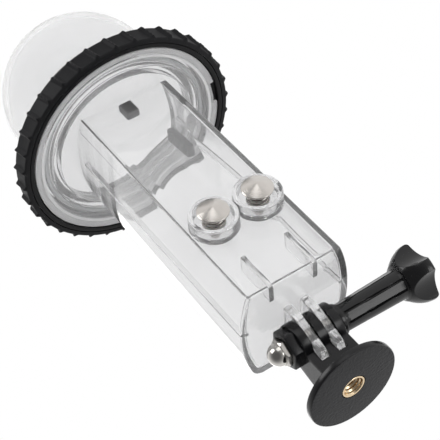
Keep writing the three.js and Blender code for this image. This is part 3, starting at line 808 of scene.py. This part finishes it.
@dataclass
class Case:
    """The clear moulding: box, collar with its thread, button bosses, inner ribs and the two fins."""

    finishes: Finishes
    bottom: float = 28.0
    top: float = CASE_TOP
    front_width: float = 33.4
    bulge_width: float = 39.3
    back_width: float = 30.7
    depth: float = 37.4
    wall: float = 1.9
    front_corner: float = 0.9
    back_corner: float = 4.2
    edge: float = 0.7
    inner_edge: float = 0.9
    lap: float = 0.9
    collar_height: float = 7.2
    collar_radius: float = 34.0
    boss_reach: float = 5.0
    boss_radius: float = 7.25
    boss_foot: float = 8.15
    recess: float = 3.8
    rib_x: float = 7.9
    rib_height: float = 15.5
    rail_x: float = 17.35
    rib_width: float = 1.6
    fin_half: float = 1.425
    fin_end: Triple = (1.0, 13.0, 3.8)

    def outline(self, inset: float) -> Points:
        """Outline of the box: front corner, bulging side and round back corner, mirrored.

        The side is the circle through its three widths, and each corner's circle touches it from inside.

        Args:
            inset: distance inwards from the outer wall.

        Returns:
            Closed counter-clockwise outline.
        """
        half = self.depth / 2
        a = np.array([self.front_width / 2, -half])
        b = np.array([self.bulge_width / 2, 0]) - a
        c = np.array([self.back_width / 2, half]) - a
        cross = 2 * (b[0] * c[1] - b[1] * c[0])
        offset = np.array([c[1] * (b @ b) - b[1] * (c @ c), b[0] * (c @ c) - c[0] * (b @ b)]) / cross
        centre, radius = a + offset, float(np.hypot(*offset))

        def corner(size: float, side: int) -> Triple:
            """Places a corner's circle.

            Args:
                size: its radius.
                side: -1 at the front and 1 at the back.

            Returns:
                Its middle, and the angle in degrees at which it meets the side.
            """
            y = side * (half - size)
            x = centre[0] + math.sqrt((radius - size) ** 2 - (y - centre[1]) ** 2)
            return x, y, math.degrees(math.atan2(y - centre[1], x - centre[0]))

        fx, fy, front_meet = corner(self.front_corner, -1)
        bx, by, back_meet = corner(self.back_corner, 1)
        front_radius = max(self.front_corner - inset, 0.2)
        shift = front_radius + inset - self.front_corner
        right = np.concatenate([
            arc((fx - shift, fy + shift), front_radius, -90, front_meet, 7),
            arc(centre, radius - inset, front_meet, back_meet, 34)[1:-1],
            arc((bx, by), self.back_corner - inset, back_meet, 90, 14),
        ])
        return np.concatenate([right, (right * np.array([-1, 1]))[::-1]])

    def box(self) -> Piece:
        """The hollow box: rows of the outline up the outside, over the rim and down the inside.

        Returns:
            The box, closed between its two walls.
        """
        turn = np.linspace(0, np.pi / 2, 5)
        outer, inner = self.edge, self.inner_edge
        floor = self.bottom + self.wall
        rows = [(outer * (1 - math.sin(t)), self.bottom + outer * (1 - math.cos(t))) for t in turn]
        rows += [(0.0, self.top + self.lap), (self.wall, self.top + self.lap)]
        rows += [(self.wall + inner * (1 - math.cos(t)), floor + inner * (1 - math.sin(t))) for t in turn]
        insets, levels = zip(*rows)
        return grid_object("case_box", stacked([self.outline(inset) for inset in insets], levels))

    def mouth(self) -> Piece:
        """The hole of the box through the collar's plate."""
        return extruded("mouth", self.outline(self.wall), self.top - 1, self.top + self.collar_height + 1, 0)

    def collar(self) -> Piece:
        """The collar, turned, with its thread, its notch and the box's mouth through it.

        Returns:
            The collar.
        """
        z, r = self.top, self.collar_radius
        top = z + self.collar_height
        corners = [
            (29.8, z), (29.8, z + 0.5), (r, z + 0.5), (r, z), (36.2, z), (36.2, z + 1.2), (r, z + 1.2),
            (r, top), (31.8, top), (31.8, top - 2.05), (29.4, top - 2.05), (29.4, top), (26.3, top),
            (26.3, z + 1.8), (10.0, z + 1.8), (10.0, z),
        ]
        collar = turned("collar", rounded(corners, 0.3, 4), 192, ring=True)
        joined(collar, [helical_ridge("collar_thread", r, 0.6, z + 2.3, 1, **THREAD)], Join.UNION)
        span = np.radians(np.linspace(-13, 2, 16))
        rim = np.concatenate([circled(37.2, span), circled(34.7, span[::-1])])[:, :2]
        return joined(collar, [self.mouth(), extruded("notch", rim, z - 1, z + 1.35, 0)], Join.CUT)

    def boss(self, x: float) -> tuple[Piece, Piece]:
        """One button boss and the stepped hole through it.

        Args:
            x: place of the button's axis.

        Returns:
            The boss and its hole.
        """
        place = (x, 0, BUTTON_Z)
        wall = self.depth / 2
        front = wall + self.boss_reach
        floor = front - self.recess
        rim = arc((self.boss_radius, front - 0.6), 0.6, 0, 90, 6)
        foot = arc((self.boss_foot, wall + 0.3), 0.3, 270, 180, 4)
        sunk = wall - 0.9
        profile = np.concatenate([[(POLE, sunk), (self.boss_foot, sunk)], foot, rim, [(POLE, front)]])
        hole = [
            (POLE, wall - 3), (1.7, wall - 3), (1.7, floor - 2.2), (2.7, floor - 2.2), (2.7, floor),
            (6.3, floor), (6.3, front - 0.25), (6.6, front + 0.05), (6.6, front + 1), (POLE, front + 1),
        ]
        boss = turned(f"boss_{x:.0f}", profile, 96, place, Axis.FRONT)
        return boss, turned(f"bore_{x:.0f}", hole, 72, place, Axis.FRONT)

    def fin(self, side: int) -> Piece:
        """One fin: two straight edges that touch a round end below the hinge, with softened edges.

        An edge from a point at distance d touches the circle of radius r at acos(r / d) from its direction.

        Args:
            side: -1 for the left fin and 1 for the right one.

        Returns:
            The fin without its hole.
        """
        y, z, radius = self.fin_end
        ahead, behind = (-6.3, 22.3), (8.2, self.bottom)
        front, back = (
            math.degrees(math.atan2(b - z, a - y) + turn * math.acos(radius / math.hypot(a - y, b - z)))
            for a, b, turn in ((*ahead, 1), (*behind, -1))
        )
        root = self.bottom + 1
        low = arc((y, z), radius, front - 360, back, 37)
        outline = np.concatenate([low, [behind, (behind[0], root), (ahead[0], root), ahead]])
        return plate(f"fin_{side}", outline, self.fin_half, 0.35, side * FIN_PITCH)

    def rib(self, x: float, y0: float, y1: float, high: float) -> Piece:
        """Upright rib on the inside of a wall.

        Args:
            x: middle of the rib.
            y0: front face.
            y1: back face.
            high: top of the rib.

        Returns:
            The rib.
        """
        left, right = x - self.rib_width / 2, x + self.rib_width / 2
        outline = rounded([(left, y0), (right, y0), (right, y1), (left, y1)], 0.25, 3)
        return extruded(f"rib_{x:.0f}_{y0:.0f}", outline, self.bottom + 0.95, high, 0.2)

    def build(self) -> None:
        """Joins the moulding and dresses it."""
        body = self.box()
        bosses = [self.boss(x) for x in (-BUTTON_X, BUTTON_X)]
        parts = [self.collar(), *(boss for boss, _ in bosses), self.fin(-1), self.fin(1)]
        inner_front = -self.depth / 2 + 0.95
        for side in (-1, 1):
            parts.append(self.rib(side * self.rib_x, inner_front, -10.9, self.bottom + self.rib_height))
            parts.append(self.rib(side * self.rail_x, -2.75, -1.65, self.top - 3))
        joined(body, parts, Join.UNION)
        pin = drill("pin_hole", SCREW_HOLE, -12, 12, 48, SCREW_LINE)
        joined(body, [*(hole for _, hole in bosses), pin], Join.CUT)
        body.name = "clear_case"
        dressed(body, "case", self.finishes.clear, "housing_body")


@dataclass
class DomePort:
    """The clear dome with its flange."""

    finishes: Finishes
    radius: float = 29.0
    wall: float = 2.0
    centre: float = 156.2
    flange_low: float = 131.9
    flange_high: float = 134.1
    flange_radius: float = 34.0
    chamfer: float = 0.3

    def build(self) -> None:
        """Turns the dome: outside from the top down, round the flange and up the inside."""
        low, high, rim, cut = self.flange_low, self.flange_high, self.flange_radius, self.chamfer
        inner = self.radius - self.wall
        profile = np.concatenate([
            arc((0, self.centre), self.radius, 89.9, 0, 48),
            arc((self.radius + 0.8, high + 0.8), 0.8, 180, 270, 6),
            [(rim - cut, high), (rim, high - cut), (rim, low + cut), (rim - cut, low)],
            [(inner + 0.4, low), (inner, low + 0.4)],
            arc((0, self.centre), inner, 0, 89.9, 48),
        ])
        dome = turned("clear_dome", profile, 192)
        dressed(dome, "port", self.finishes.clear, "dome_port")


@dataclass
class PortSeal:
    """The dome's ring seal in the collar's groove."""

    finishes: Finishes
    radius: float = 30.6
    tube: float = 1.0
    level: float = 130.75

    def build(self) -> None:
        """Turns the seal's round section."""
        seal = turned("dome_seal", arc((self.radius, self.level), self.tube, 0, 342, 20), 160, ring=True)
        dressed(seal, "case", self.finishes.silicone, "port_seal")


@dataclass
class LockRing:
    """The black ring: threaded core with a sloping shoulder, and its rubber sleeve with slanted ribs."""

    finishes: Finishes
    bottom: float = CASE_TOP
    shoulder: float = 131.5
    top: float = 136.4
    core_radius: float = 38.25
    bore_radius: float = 35.55
    lip_radius: float = 32.8
    lip_level: float = 134.4
    sleeve_radius: float = 40.2
    sleeve_height: float = 7.1
    ribs: int = 36
    rib_height: float = 1.1
    rib_flanks: Pair = (0.13, 0.19)
    slant: float = 0.037
    hollow: float = 0.12

    def core(self) -> Piece:
        """The core: a closed turned profile with the female thread added.

        Returns:
            The core.
        """
        low, bore = self.bottom, self.bore_radius
        corners = [
            (36.6, low), (self.core_radius, low), (self.core_radius, self.shoulder), (35.6, self.top),
            (self.lip_radius, self.top), (self.lip_radius, self.lip_level), (bore, self.lip_level),
            (bore, low + 1.55), (36.6, low + 1.55),
        ]
        core = turned("ring_core", rounded(corners, 0.35, 5), 216, ring=True)
        return joined(core, [helical_ridge("ring_thread", bore, 1.3, low + 3.8, -1, **THREAD)], Join.UNION)

    def sleeve(self) -> Piece:
        """The sleeve: radius + rib height * crest(phase) * fade(height), the phase leaning with the height.

        The crest rises steeply on one side and falls slowly on the other, as the real ribs do. The wall
        between the ribs is slightly hollow, and its two rims are softened.

        Returns:
            The sleeve.
        """
        tall = self.sleeve_height
        angle = np.linspace(0, FULL_TURN, self.ribs * 20, endpoint=False)[None, :]
        rise = np.concatenate([[0.0, 0.15, 0.4], np.linspace(0.8, 6.2, 16), [6.6, 6.9, tall]])[:, None]
        phase = off_step(angle - self.slant * (0.5 - rise / tall), self.ribs)
        crest = np.clip(1 - np.abs(phase) / np.where(phase > 0, *self.rib_flanks), 0, 1)
        crest = crest * crest * (3 - 2 * crest)
        end = np.minimum(rise, tall - rise)
        fade = np.clip(end / 0.7, 0, 1) ** 0.5
        dish = -self.hollow * np.sin(np.pi * np.clip(rise / tall, 0, 1))
        rim = 0.45 * (1 - np.clip(end / 0.4, 0, 1)) ** 2
        radius = self.sleeve_radius + dish + self.rib_height * crest * fade - rim
        outer = circled(radius, angle, self.bottom + rise)
        hole = circled(self.core_radius + 0.2, angle, self.bottom + np.array([[tall], [0.0]]))
        return grid_object("ribbed_sleeve", np.concatenate([outer, hole]), True)

    def build(self) -> None:
        """Makes and dresses both pieces."""
        dressed(self.core(), "ring", self.finishes.ring, "lock_ring")
        dressed(self.sleeve(), "ring", self.finishes.rubber, "ring_grip", math.radians(50))


@dataclass
class Button:
    """One push button: turned cap and stem, coil spring, bush, stem seal and snap clip.

    Heights are distances in front of the case's middle.
    """

    finishes: Finishes
    side: str
    x: float
    inner_wall: float = 16.8
    floor: float = 19.9
    under: float = 24.8
    spring_radius: float = 3.2
    spring_turns: float = 3.5
    spring_gap: float = 0.12
    flange: float = 0.4
    wire: float = 0.28
    clip_opening: float = 38
    clip_radius: float = 3.0
    clip_bore: float = 2.1
    tooth: float = 0.85
    tooth_width: float = 22

    @property
    def place(self) -> Triple:
        """Foot of the button's axis in the case's middle."""
        return self.x, 0, BUTTON_Z

    def turned_piece(self, name: str, profile: Sequence, facets: int, ring: bool = True) -> Piece:
        """A piece turned about the button's axis."""
        return turned(f"{name}_{self.side}", profile, facets, self.place, Axis.FRONT, ring)

    def plunger(self) -> Piece:
        """Cap and stem as one turned piece, with a shallow cone and softened rims.

        Returns:
            The cap with its stem.
        """
        w, u = self.inner_wall, self.under
        rim = arc((4.85, u + 0.4), 0.25, 0, 62, 5).tolist()
        profile = [
            (POLE, w - 4.3), (1.3, w - 4.3), (1.5, w - 4.1), (1.5, w - 1.0), (1.15, w - 1.0), (1.15, w - 0.2),
            (1.5, w - 0.2), (1.5, u), (4.9, u), (5.1, u + 0.2), *rim,
            (2.4, u + 1.55), (0.9, u + 2.12), (0.35, u + 2.25), (POLE, u + 2.28),
        ]
        return self.turned_piece("button_cap", profile, 96, False)

    def spring(self) -> Piece:
        """The spring: a helix whose ends lie flat; height = eased share of the turn.

        Returns:
            The coil.
        """
        low = self.floor + self.flange + self.wire + self.spring_gap
        high = self.under - self.wire - self.spring_gap
        t = np.linspace(0, 1, 260)
        ease = np.clip((t - 0.14) / 0.72, 0, 1)
        path = circled(self.spring_radius, FULL_TURN * self.spring_turns * t, low + (high - low) * ease)
        return swept(f"button_coil_{self.side}", laid(path, Axis.FRONT) + np.array(self.place), self.wire, 12)

    def clip(self) -> Piece:
        """The snap clip: an open ring whose inner radius dips in a bell curve at each of three teeth.

        Returns:
            The clip.
        """
        opening = self.clip_opening
        outer = arc((0, 0), self.clip_radius, opening, 360 - opening, 60)
        angle = np.linspace(360 - opening, opening, 60)
        bells = [np.exp(-(((angle - middle) / self.tooth_width) ** 2)) for middle in (90, 180, 270)]
        inner = circled(self.clip_bore - self.tooth * np.max(bells, axis=0), np.radians(angle))[:, :2]
        ring = np.concatenate([outer, inner]) @ np.array([[0, 1], [-1, 0]])
        near = self.inner_wall - 0.3
        return extruded(f"snap_clip_{self.side}", ring, near - 0.6, near, 0.08, self.place, Axis.FRONT, 2)

    def build(self) -> None:
        """Makes and dresses the five pieces."""
        side, shared, floor = self.side, self.finishes, self.floor
        tint = (0.65, 0.615, 0.58)
        steel = Metal(f"turned_steel_{side}", tint, 0.2, 0.5, self.place, Axis.FRONT).make()
        body = f"button_{side}"
        dressed(self.plunger(), body, steel, f"button_plunger_{side}")
        dressed(self.clip(), body, shared.wire, f"stem_clip_{side}")
        profile = [(1.7, floor - 0.6), (2.6, floor - 0.6), (2.6, floor + 0.1), (3.6, floor + 0.1),
                   (3.7, floor + 0.2), (3.7, floor + 0.45), (3.6, floor + 0.5), (1.9, floor + 0.5),
                   (1.7, floor + 0.3)]
        bush = self.turned_piece("bush", profile, 64)
        dressed(bush, "case", shared.nylon, f"button_bush_{side}")
        stem_ring = self.turned_piece("stem_ring", arc((2.05, floor - 1.65), 0.45, 0, 330, 12), 48)
        dressed(stem_ring, "case", shared.silicone, f"stem_seal_{side}")
        coil = dressed(self.spring(), "case", shared.wire, f"button_spring_{side}")
        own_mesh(coil)


@dataclass
class FoamPads:
    """The two foam pads that hold the camera: blocks with soft corners and rims, where the CAD has them."""

    finishes: Finishes
    corner: float = 0.7
    rim: float = 0.5
    side_trim: float = 0.55

    def build(self) -> None:
        """Makes both pads; the side pad ends a little before the wall that it is set into."""
        for side, trim in (("front", 0), ("side", self.side_trim)):
            name, node = f"{side}_foam", f"foam_pad_{side}"
            low, high = (np.array(corner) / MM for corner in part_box(node))
            high = high - np.array([trim, 0, 0])
            corners = [(low[0], low[1]), (high[0], low[1]), (high[0], high[1]), (low[0], high[1])]
            pad = extruded(name, rounded(corners, self.corner, 5), low[2], high[2], self.rim)
            dressed(pad, "case", self.finishes.foam, node)


@dataclass
class TripodFoot:
    """The black foot: grained disc, stem, three prongs and the nut's boss, with brass insert and cap nut."""

    finishes: Finishes
    place: Triple = SCREW_LINE
    disc_y: float = 5.8
    half_width: float = 7.525
    slot_half: float = 1.625
    slot_radius: float = 10.7
    run_out: Pair = (9.2, 14.0)
    well_radius: float = 4.3
    well_depth: float = 7.3
    insert_length: float = 7.0
    insert_bore: float = 3.2
    thread_pitch: float = 1.27
    thread_depth: float = 0.45
    nut_base: float = -9.025
    nut_shoulder: float = -12.425
    ball: float = 3.75

    def hexagon(self, name: str, flats: float, low: float, high: float, corner: float, edge: float,
                steps: int = 4) -> Piece:
        """Hexagonal prism along the screw, with its corners up and down.

        Args:
            name: name of the object.
            flats: width across the flats.
            low: start along X.
            high: end along X.
            corner: length rounded off at each corner.
            edge: radius of its rims.
            steps: rows on each rim.

        Returns:
            The prism.
        """
        outline = circled(flats / math.sqrt(3), np.radians(np.arange(6) * 60 + 30))[:, :2]
        if corner:
            outline = rounded(outline, corner, 4)
        return extruded(name, outline, low, high, edge, self.place, Axis.RIGHT, steps)

    def foot(self) -> None:
        """Joins disc, stem and boss, and cuts the slots, the pocket and the holes."""
        y, z = HINGE
        disc_place = (0, self.disc_y, 0)
        disc = [(POLE, 0), (14.9, 0), (15.2, 0.08), (15.42, 0.3), (15.5, 0.6), (15.5, 1.9), (15.4, 2.2),
                (15.15, 2.36), (14.8, 2.4), (POLE, 2.4)]
        raised = [(POLE, 1.2), (5.5, 1.2), (5.5, 8.1), (5.2, 8.4), (POLE, 8.4)]
        stem = np.concatenate([[(-1.1, 1.2), (11.2, 1.2), (7.9, 15.7)], arc(HINGE, 6.9, 0, 254, 60)])
        foot = plate("foot", stem, self.half_width, 0.35)
        joined(foot, [
            turned("disc", disc, 192, disc_place),
            self.hexagon("nut_boss", 11.4, -10.725, -7.3, 0.4, 0.4),
            turned("insert_boss", raised, 96, disc_place),
        ], Join.UNION)
        cutters = []
        for side in (-1, 1):
            left, right = side * FIN_PITCH - self.slot_half, side * FIN_PITCH + self.slot_half
            cutters.append(drill(f"slot_{side}", self.slot_radius, left, right, 128, self.place))
            drop, back = self.run_out
            corners = np.array([(left, y), (right, y), (right, back), (left, back)])
            cutters.append(extruded(f"run_out_{side}", corners, z - drop, z, 0))
        cutters.append(self.hexagon("nut_pocket", 8.6, -12.0, -8.725, 0, 0))
        cutters.append(drill("pin", SCREW_HOLE, -13, 13, 48, self.place))
        cutters.append(drill("well", self.well_radius, -1, self.well_depth, 64, disc_place, Axis.UP))
        joined(foot, cutters, Join.CUT)
        foot.name = "grained_foot"
        dressed(foot, "foot", self.finishes.foot, "tripod_foot")

    def insert(self) -> None:
        """Brass insert: inner radius = bore - depth * ramp(height / pitch - angle / 2 pi), a true helix."""
        top = self.insert_length
        angle = np.linspace(0, FULL_TURN, 96, endpoint=False)[None, :]
        z = np.linspace(top, 0.5, 96)[:, None]
        wave = np.abs(((z / self.thread_pitch - angle / FULL_TURN) % 1) * 2 - 1)
        fade = np.clip(np.minimum(z - 0.5, top - z) / 0.5, 0, 1)
        ramp = self.thread_depth * np.clip(wave * 1.3 - 0.15, 0, 1) * fade
        inner = circled(self.insert_bore - ramp, angle, z)
        outer = np.array([(3.45, 0.03), (3.55, 0.0), (3.95, 0.0), (4.05, 0.12), (4.1, 0.3), (4.1, top)])
        grid = np.concatenate([inner, circled(outer[:, 0:1], angle, outer[:, 1:2])])
        brass = Metal("insert_brass", (0.8, 0.63, 0.42), 0.2, 0.3, (0, self.disc_y, 0)).make()
        piece = grid_object("brass_thread", grid + np.array([0, self.disc_y, 0]), True)
        dressed(piece, "foot", brass, "threaded_insert", math.radians(40))

    def nut(self) -> None:
        """Cap nut: chamfered hexagon, a neck and a polished ball, turned about the screw's axis."""
        base, shoulder, ball = self.nut_base, self.nut_shoulder, self.ball
        chamfer = [(POLE, base), (4.2, base), (4.7, base - 0.35), (4.7, shoulder + 0.7), (4.05, shoulder),
                   (POLE, shoulder)]
        cap = arc((0, shoulder), ball, 359.9, 270, 24)
        head = np.concatenate([[(POLE, base - 1), (ball, base - 1)], cap])
        head[-1, 0] = POLE
        nut = self.hexagon("cap_nut", 8.0, shoulder, base, 0, 0.05, 2)
        joined(nut, [turned("nut_cone", chamfer, 96, self.place, Axis.RIGHT)], Join.COMMON)
        joined(nut, [turned("nut_ball", head, 96, self.place, Axis.RIGHT)], Join.UNION)
        joined(nut, [drill("nut_bore", SCREW_HOLE, -13.7, base + 1, 48, self.place)], Join.CUT)
        steel = Metal("polished_steel", (0.62, 0.6, 0.57), 0.12, 0.1, self.place, Axis.RIGHT).make()
        dressed(nut, "foot", steel, "acorn_nut")

    def build(self) -> None:
        """Makes the foot, its insert and its nut."""
        self.foot()
        self.insert()
        self.nut()


@dataclass
class ThumbScrew:
    """The steel screw and its black barred handle with the four-lobed knob; stations are places along X."""

    finishes: Finishes
    place: Triple = SCREW_LINE
    shaft_end: float = 32.5
    neck: float = 6.0
    flare_length: float = 7.6
    flare_rise: float = 3.6
    end: float = 41.2
    lobes: int = 4
    turn: float = -0.26
    bar_turn: float = math.pi / 4
    bars: Pair = (10.2, 32.0)
    bar_half: float = 1.5
    reach: float = 17.3
    cut: float = 10.7
    bar_sink: float = 0.45
    groove: Pair = (1.35, 2.15)
    groove_depth: float = 0.95
    dish_radius: float = 8.0
    shank: Pair = (-13.4, 20.0)
    shank_radius: float = 2.4
    thread_pitch: float = 0.8
    thread_depth: float = 0.16

    def stations(self) -> Points:
        """The turned outline of the handle: collar, tapering shaft and a flare that levels out.

        Returns:
            Array of places along X and radii.
        """
        share = np.linspace(0, 1, 12)[1:]
        rise = self.neck + self.flare_rise * share * (2 - share)
        return np.array([
            (7.825, 5.0), (7.95, 5.2), (8.2, 5.3), (9.2, 5.3), (9.4, 5.2), (9.5, 4.68), (12, 4.72), (16, 4.8),
            (20, 4.88), (24, 4.97), (28, 5.06), (31.8, 5.14), (32.3, 5.35), (self.shaft_end, self.neck),
            *np.column_stack([self.shaft_end + self.flare_length * share, rise]),
            (40.4, 9.57), (40.8, 9.42), (41.1, 9.15), (self.end, 8.85),
        ])

    def knob(self) -> Piece:
        """The handle: radius = least of body(x), scallop(x, angle) and bar(x, angle) all over its grid.

        The body is the turned outline, the scallops are circles cut between the lobes, and each bar along
        the shaft is a flat strip between two narrow grooves.

        Returns:
            The handle with its bore.
        """
        angle = np.linspace(0, FULL_TURN, 288, endpoint=False)[None, :]
        step = FULL_TURN / self.lobes
        stations = self.stations()
        pieces = [np.linspace(a, b, 5)[:-1] for a, b in zip(stations[:-1, 0], stations[1:, 0])]
        fine = np.concatenate([*pieces, stations[-1:, 0]])[:, None]
        body = np.interp(fine, stations[:, 0], stations[:, 1])
        wave = off_step(angle - self.turn, self.lobes) * step
        inside = np.clip(self.cut**2 - (self.reach * np.sin(wave)) ** 2, 0, None)
        limit = np.where(inside > 0, self.reach * np.cos(wave) - np.sqrt(inside), 99.0)
        start = np.clip((fine - self.shaft_end) / 0.5, 0, 1)
        radius = np.where(start > 0, np.minimum(body, limit + (1 - start) * 4), body)
        across = np.abs(body * np.sin(off_step(angle - self.bar_turn, self.lobes) * step))
        span = np.clip(np.minimum(fine - self.bars[0], self.bars[1] - fine) / 0.35, 0, 1)
        near, far = self.groove
        groove = np.clip((across - near) / 0.12, 0, 1) * np.clip((far - across) / 0.2, 0, 1)
        sunk = np.clip(body - np.sqrt((body - self.bar_sink) ** 2 + across**2), 0, None)
        radius = radius - span * np.where(across < self.bar_half, sunk, 0) - span * self.groove_depth * groove
        last = np.minimum(radius[-1], self.dish_radius)
        dish = [(0.45, 0.0), (0.4, 0.1), (0.36, 1.1), (0.001, 1.2)]
        end = [circled(share * last, angle[0], self.end - drop) for share, drop in dish]
        grid = np.concatenate([circled(radius, angle, fine), end])
        knob = grid_object("fluted_knob", laid(grid, Axis.RIGHT) + np.array(self.place))
        return joined(knob, [drill("knob_bore", SCREW_HOLE, 7, 20.3, 48, self.place)], Join.CUT)

    def screw(self) -> Piece:
        """The shank: radius - depth * triangle(x / pitch), ridged where the nut holds it.

        Returns:
            The shank.
        """
        low, high = self.shank
        x = np.linspace(low, high, 400)
        ridge = np.abs(((x / self.thread_pitch) % 1) * 2 - 1) * (x < -1)
        side = np.column_stack([self.shank_radius - self.thread_depth * ridge, x])
        profile = np.concatenate([[(POLE, low)], side, [(POLE, high)]])
        return turned("screw_shank", profile, 40, self.place, Axis.RIGHT)

    def build(self) -> None:
        """Makes and dresses the knob and the screw."""
        steel = Metal("screw_steel", (0.66, 0.64, 0.6), 0.22, 0.2, self.place, Axis.RIGHT).make()
        dressed(self.knob(), "thumb", self.finishes.knob, "thumb_knob", math.radians(35))
        dressed(self.screw(), "thumb", steel, "thumb_screw")


@dataclass
class Studio:
    """Camera at the photograph's viewing angle, soft lamps, pale floor and a white world, in metres."""

    lens: float = 106.34
    place: Triple = (-0.1423, -0.3015, -0.1761)
    right: Triple = (0.8278, 0.0624, -0.5576)
    down: Triple = (-0.4393, 0.6903, -0.5749)
    target: Triple = (0, 0, 0.09)
    lamps: tuple[tuple[str, Triple, float, float], ...] = (
        ("key", (-0.5, -0.4, 0.5), 0.4, 2.2),
        ("fill", (-0.02, -0.7, 0.14), 0.4, 0.5),
        ("under", (0.32, -0.5, -0.55), 0.34, 1.3),
        ("back", (0.1, 0.6, 0.4), 0.5, 1.0),
    )
    floor_half: float = 0.9
    floor_level: float = -0.00002
    bright_side: Triple = (0.75, 0.45, 0.35)
    gloss_low: float = 0.14
    diffuse: float = 0.6

    def camera(self) -> None:
        """Sets the camera from its measured place and axes."""
        data = bpy.data.cameras.new("photo_camera")
        data.lens, data.sensor_width = self.lens, 36
        data.clip_start = 0.01
        obj = bpy.data.objects.new("photo_camera", data)
        x = Vector(self.right).normalized()
        y = -(Vector(self.down) - x * x.dot(Vector(self.down))).normalized()
        turn = Matrix((x, y, x.cross(y))).transposed().to_4x4()
        obj.matrix_world = Matrix.Translation(self.place) @ turn
        bpy.context.scene.collection.objects.link(obj)
        bpy.context.scene.camera = obj

    def lamp(self, name: str, place: Sequence[float], size: float, power: float) -> None:
        """One soft area lamp that faces the object.

        Args:
            name: name of the lamp.
            place: its place.
            size: length of its square side.
            power: its power in watts.
        """
        data = bpy.data.lights.new(name, "AREA")
        data.size, data.energy = size, power
        obj = bpy.data.objects.new(name, data)
        aim = Vector(self.target) - Vector(place)
        obj.matrix_world = Matrix.Translation(place) @ aim.to_track_quat("-Z", "Y").to_matrix().to_4x4()
        obj.visible_camera = obj.visible_transmission = False
        bpy.context.scene.collection.objects.link(obj)

    def floor(self) -> None:
        """A pale floor that only sight from above meets, so that it doesn't hide the part from below."""
        half, level = self.floor_half, self.floor_level
        mesh = bpy.data.meshes.new("floor")
        rows = np.linspace(-half, half, 3)
        grid = np.stack(np.meshgrid(rows, rows, [level], indexing="ij"), axis=-1)
        quads = [(0, 3, 4, 1), (1, 4, 5, 2), (3, 6, 7, 4), (4, 7, 8, 5)]
        mesh.from_pydata(grid.reshape(-1, 3).tolist(), [], quads)
        floor = bpy.data.objects.new("floor", mesh)
        bpy.context.scene.collection.objects.link(floor)
        p = Palette("pale_floor")
        p.shade(Base_Color=(0.92, 0.92, 0.92, 1.0), Roughness=0.7)
        sight = p.node("ShaderNodeLightPath").outputs
        under = p.node("ShaderNodeNewGeometry").outputs["Backfacing"]
        seen = Signal(p.tree, sight["Is Camera Ray"]) + Signal(p.tree, sight["Is Transmission Ray"])
        shown = seen.math("MINIMUM", 1.0) * (1 - Signal(p.tree, under))
        p.finish(shown, p.node("ShaderNodeBsdfTransparent"), p.shader)
        mesh.materials.append(p.material)

    def world(self) -> None:
        """White to sight and through clear walls; reflections see it dimmer towards the front left."""
        world = bpy.data.worlds.new("studio")
        bpy.context.scene.world = world
        world.use_nodes = True
        tree = world.node_tree
        path = added(tree, "ShaderNodeLightPath").outputs
        white = Signal(tree, path["Is Camera Ray"]) + Signal(tree, path["Is Transmission Ray"])
        white = white.math("MINIMUM", 1.0)
        direction = added(tree, "ShaderNodeTexCoord").outputs["Generated"]
        parts = added(tree, "ShaderNodeSeparateXYZ", None, {0: direction})
        x, y, z = (Signal(tree, out) * share for out, share in zip(parts.outputs, self.bright_side))
        bright = (x + y + z).between(-0.9, 0.15) * (1 - self.gloss_low) + self.gloss_low
        glossy = Signal(tree, path["Is Glossy Ray"]) * (1 - white)
        level = white + glossy * bright + (1 - white) * (1 - glossy) * self.diffuse
        background = tree.nodes["Background"]
        feed(tree, background.inputs["Strength"], level)
        feed(tree, background.inputs["Color"], (1, 1, 1, 1))

    def build(self) -> None:
        """Sets the whole studio up."""
        self.camera()
        self.floor()
        self.world()
        for lamp in self.lamps:
            self.lamp(*lamp)
        bpy.context.scene.view_settings.view_transform = "Standard"


def main() -> None:
    logging.basicConfig(level=logging.INFO, format="%(name)s: %(message)s")
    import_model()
    finishes = Finishes()
    for part in (
        Case(finishes), DomePort(finishes), PortSeal(finishes), LockRing(finishes),
        Button(finishes, "left", -BUTTON_X), Button(finishes, "right", BUTTON_X), FoamPads(finishes),
        TripodFoot(finishes), ThumbScrew(finishes), Studio(),
    ):
        part.build()


if __name__ == "__main__":
    main()
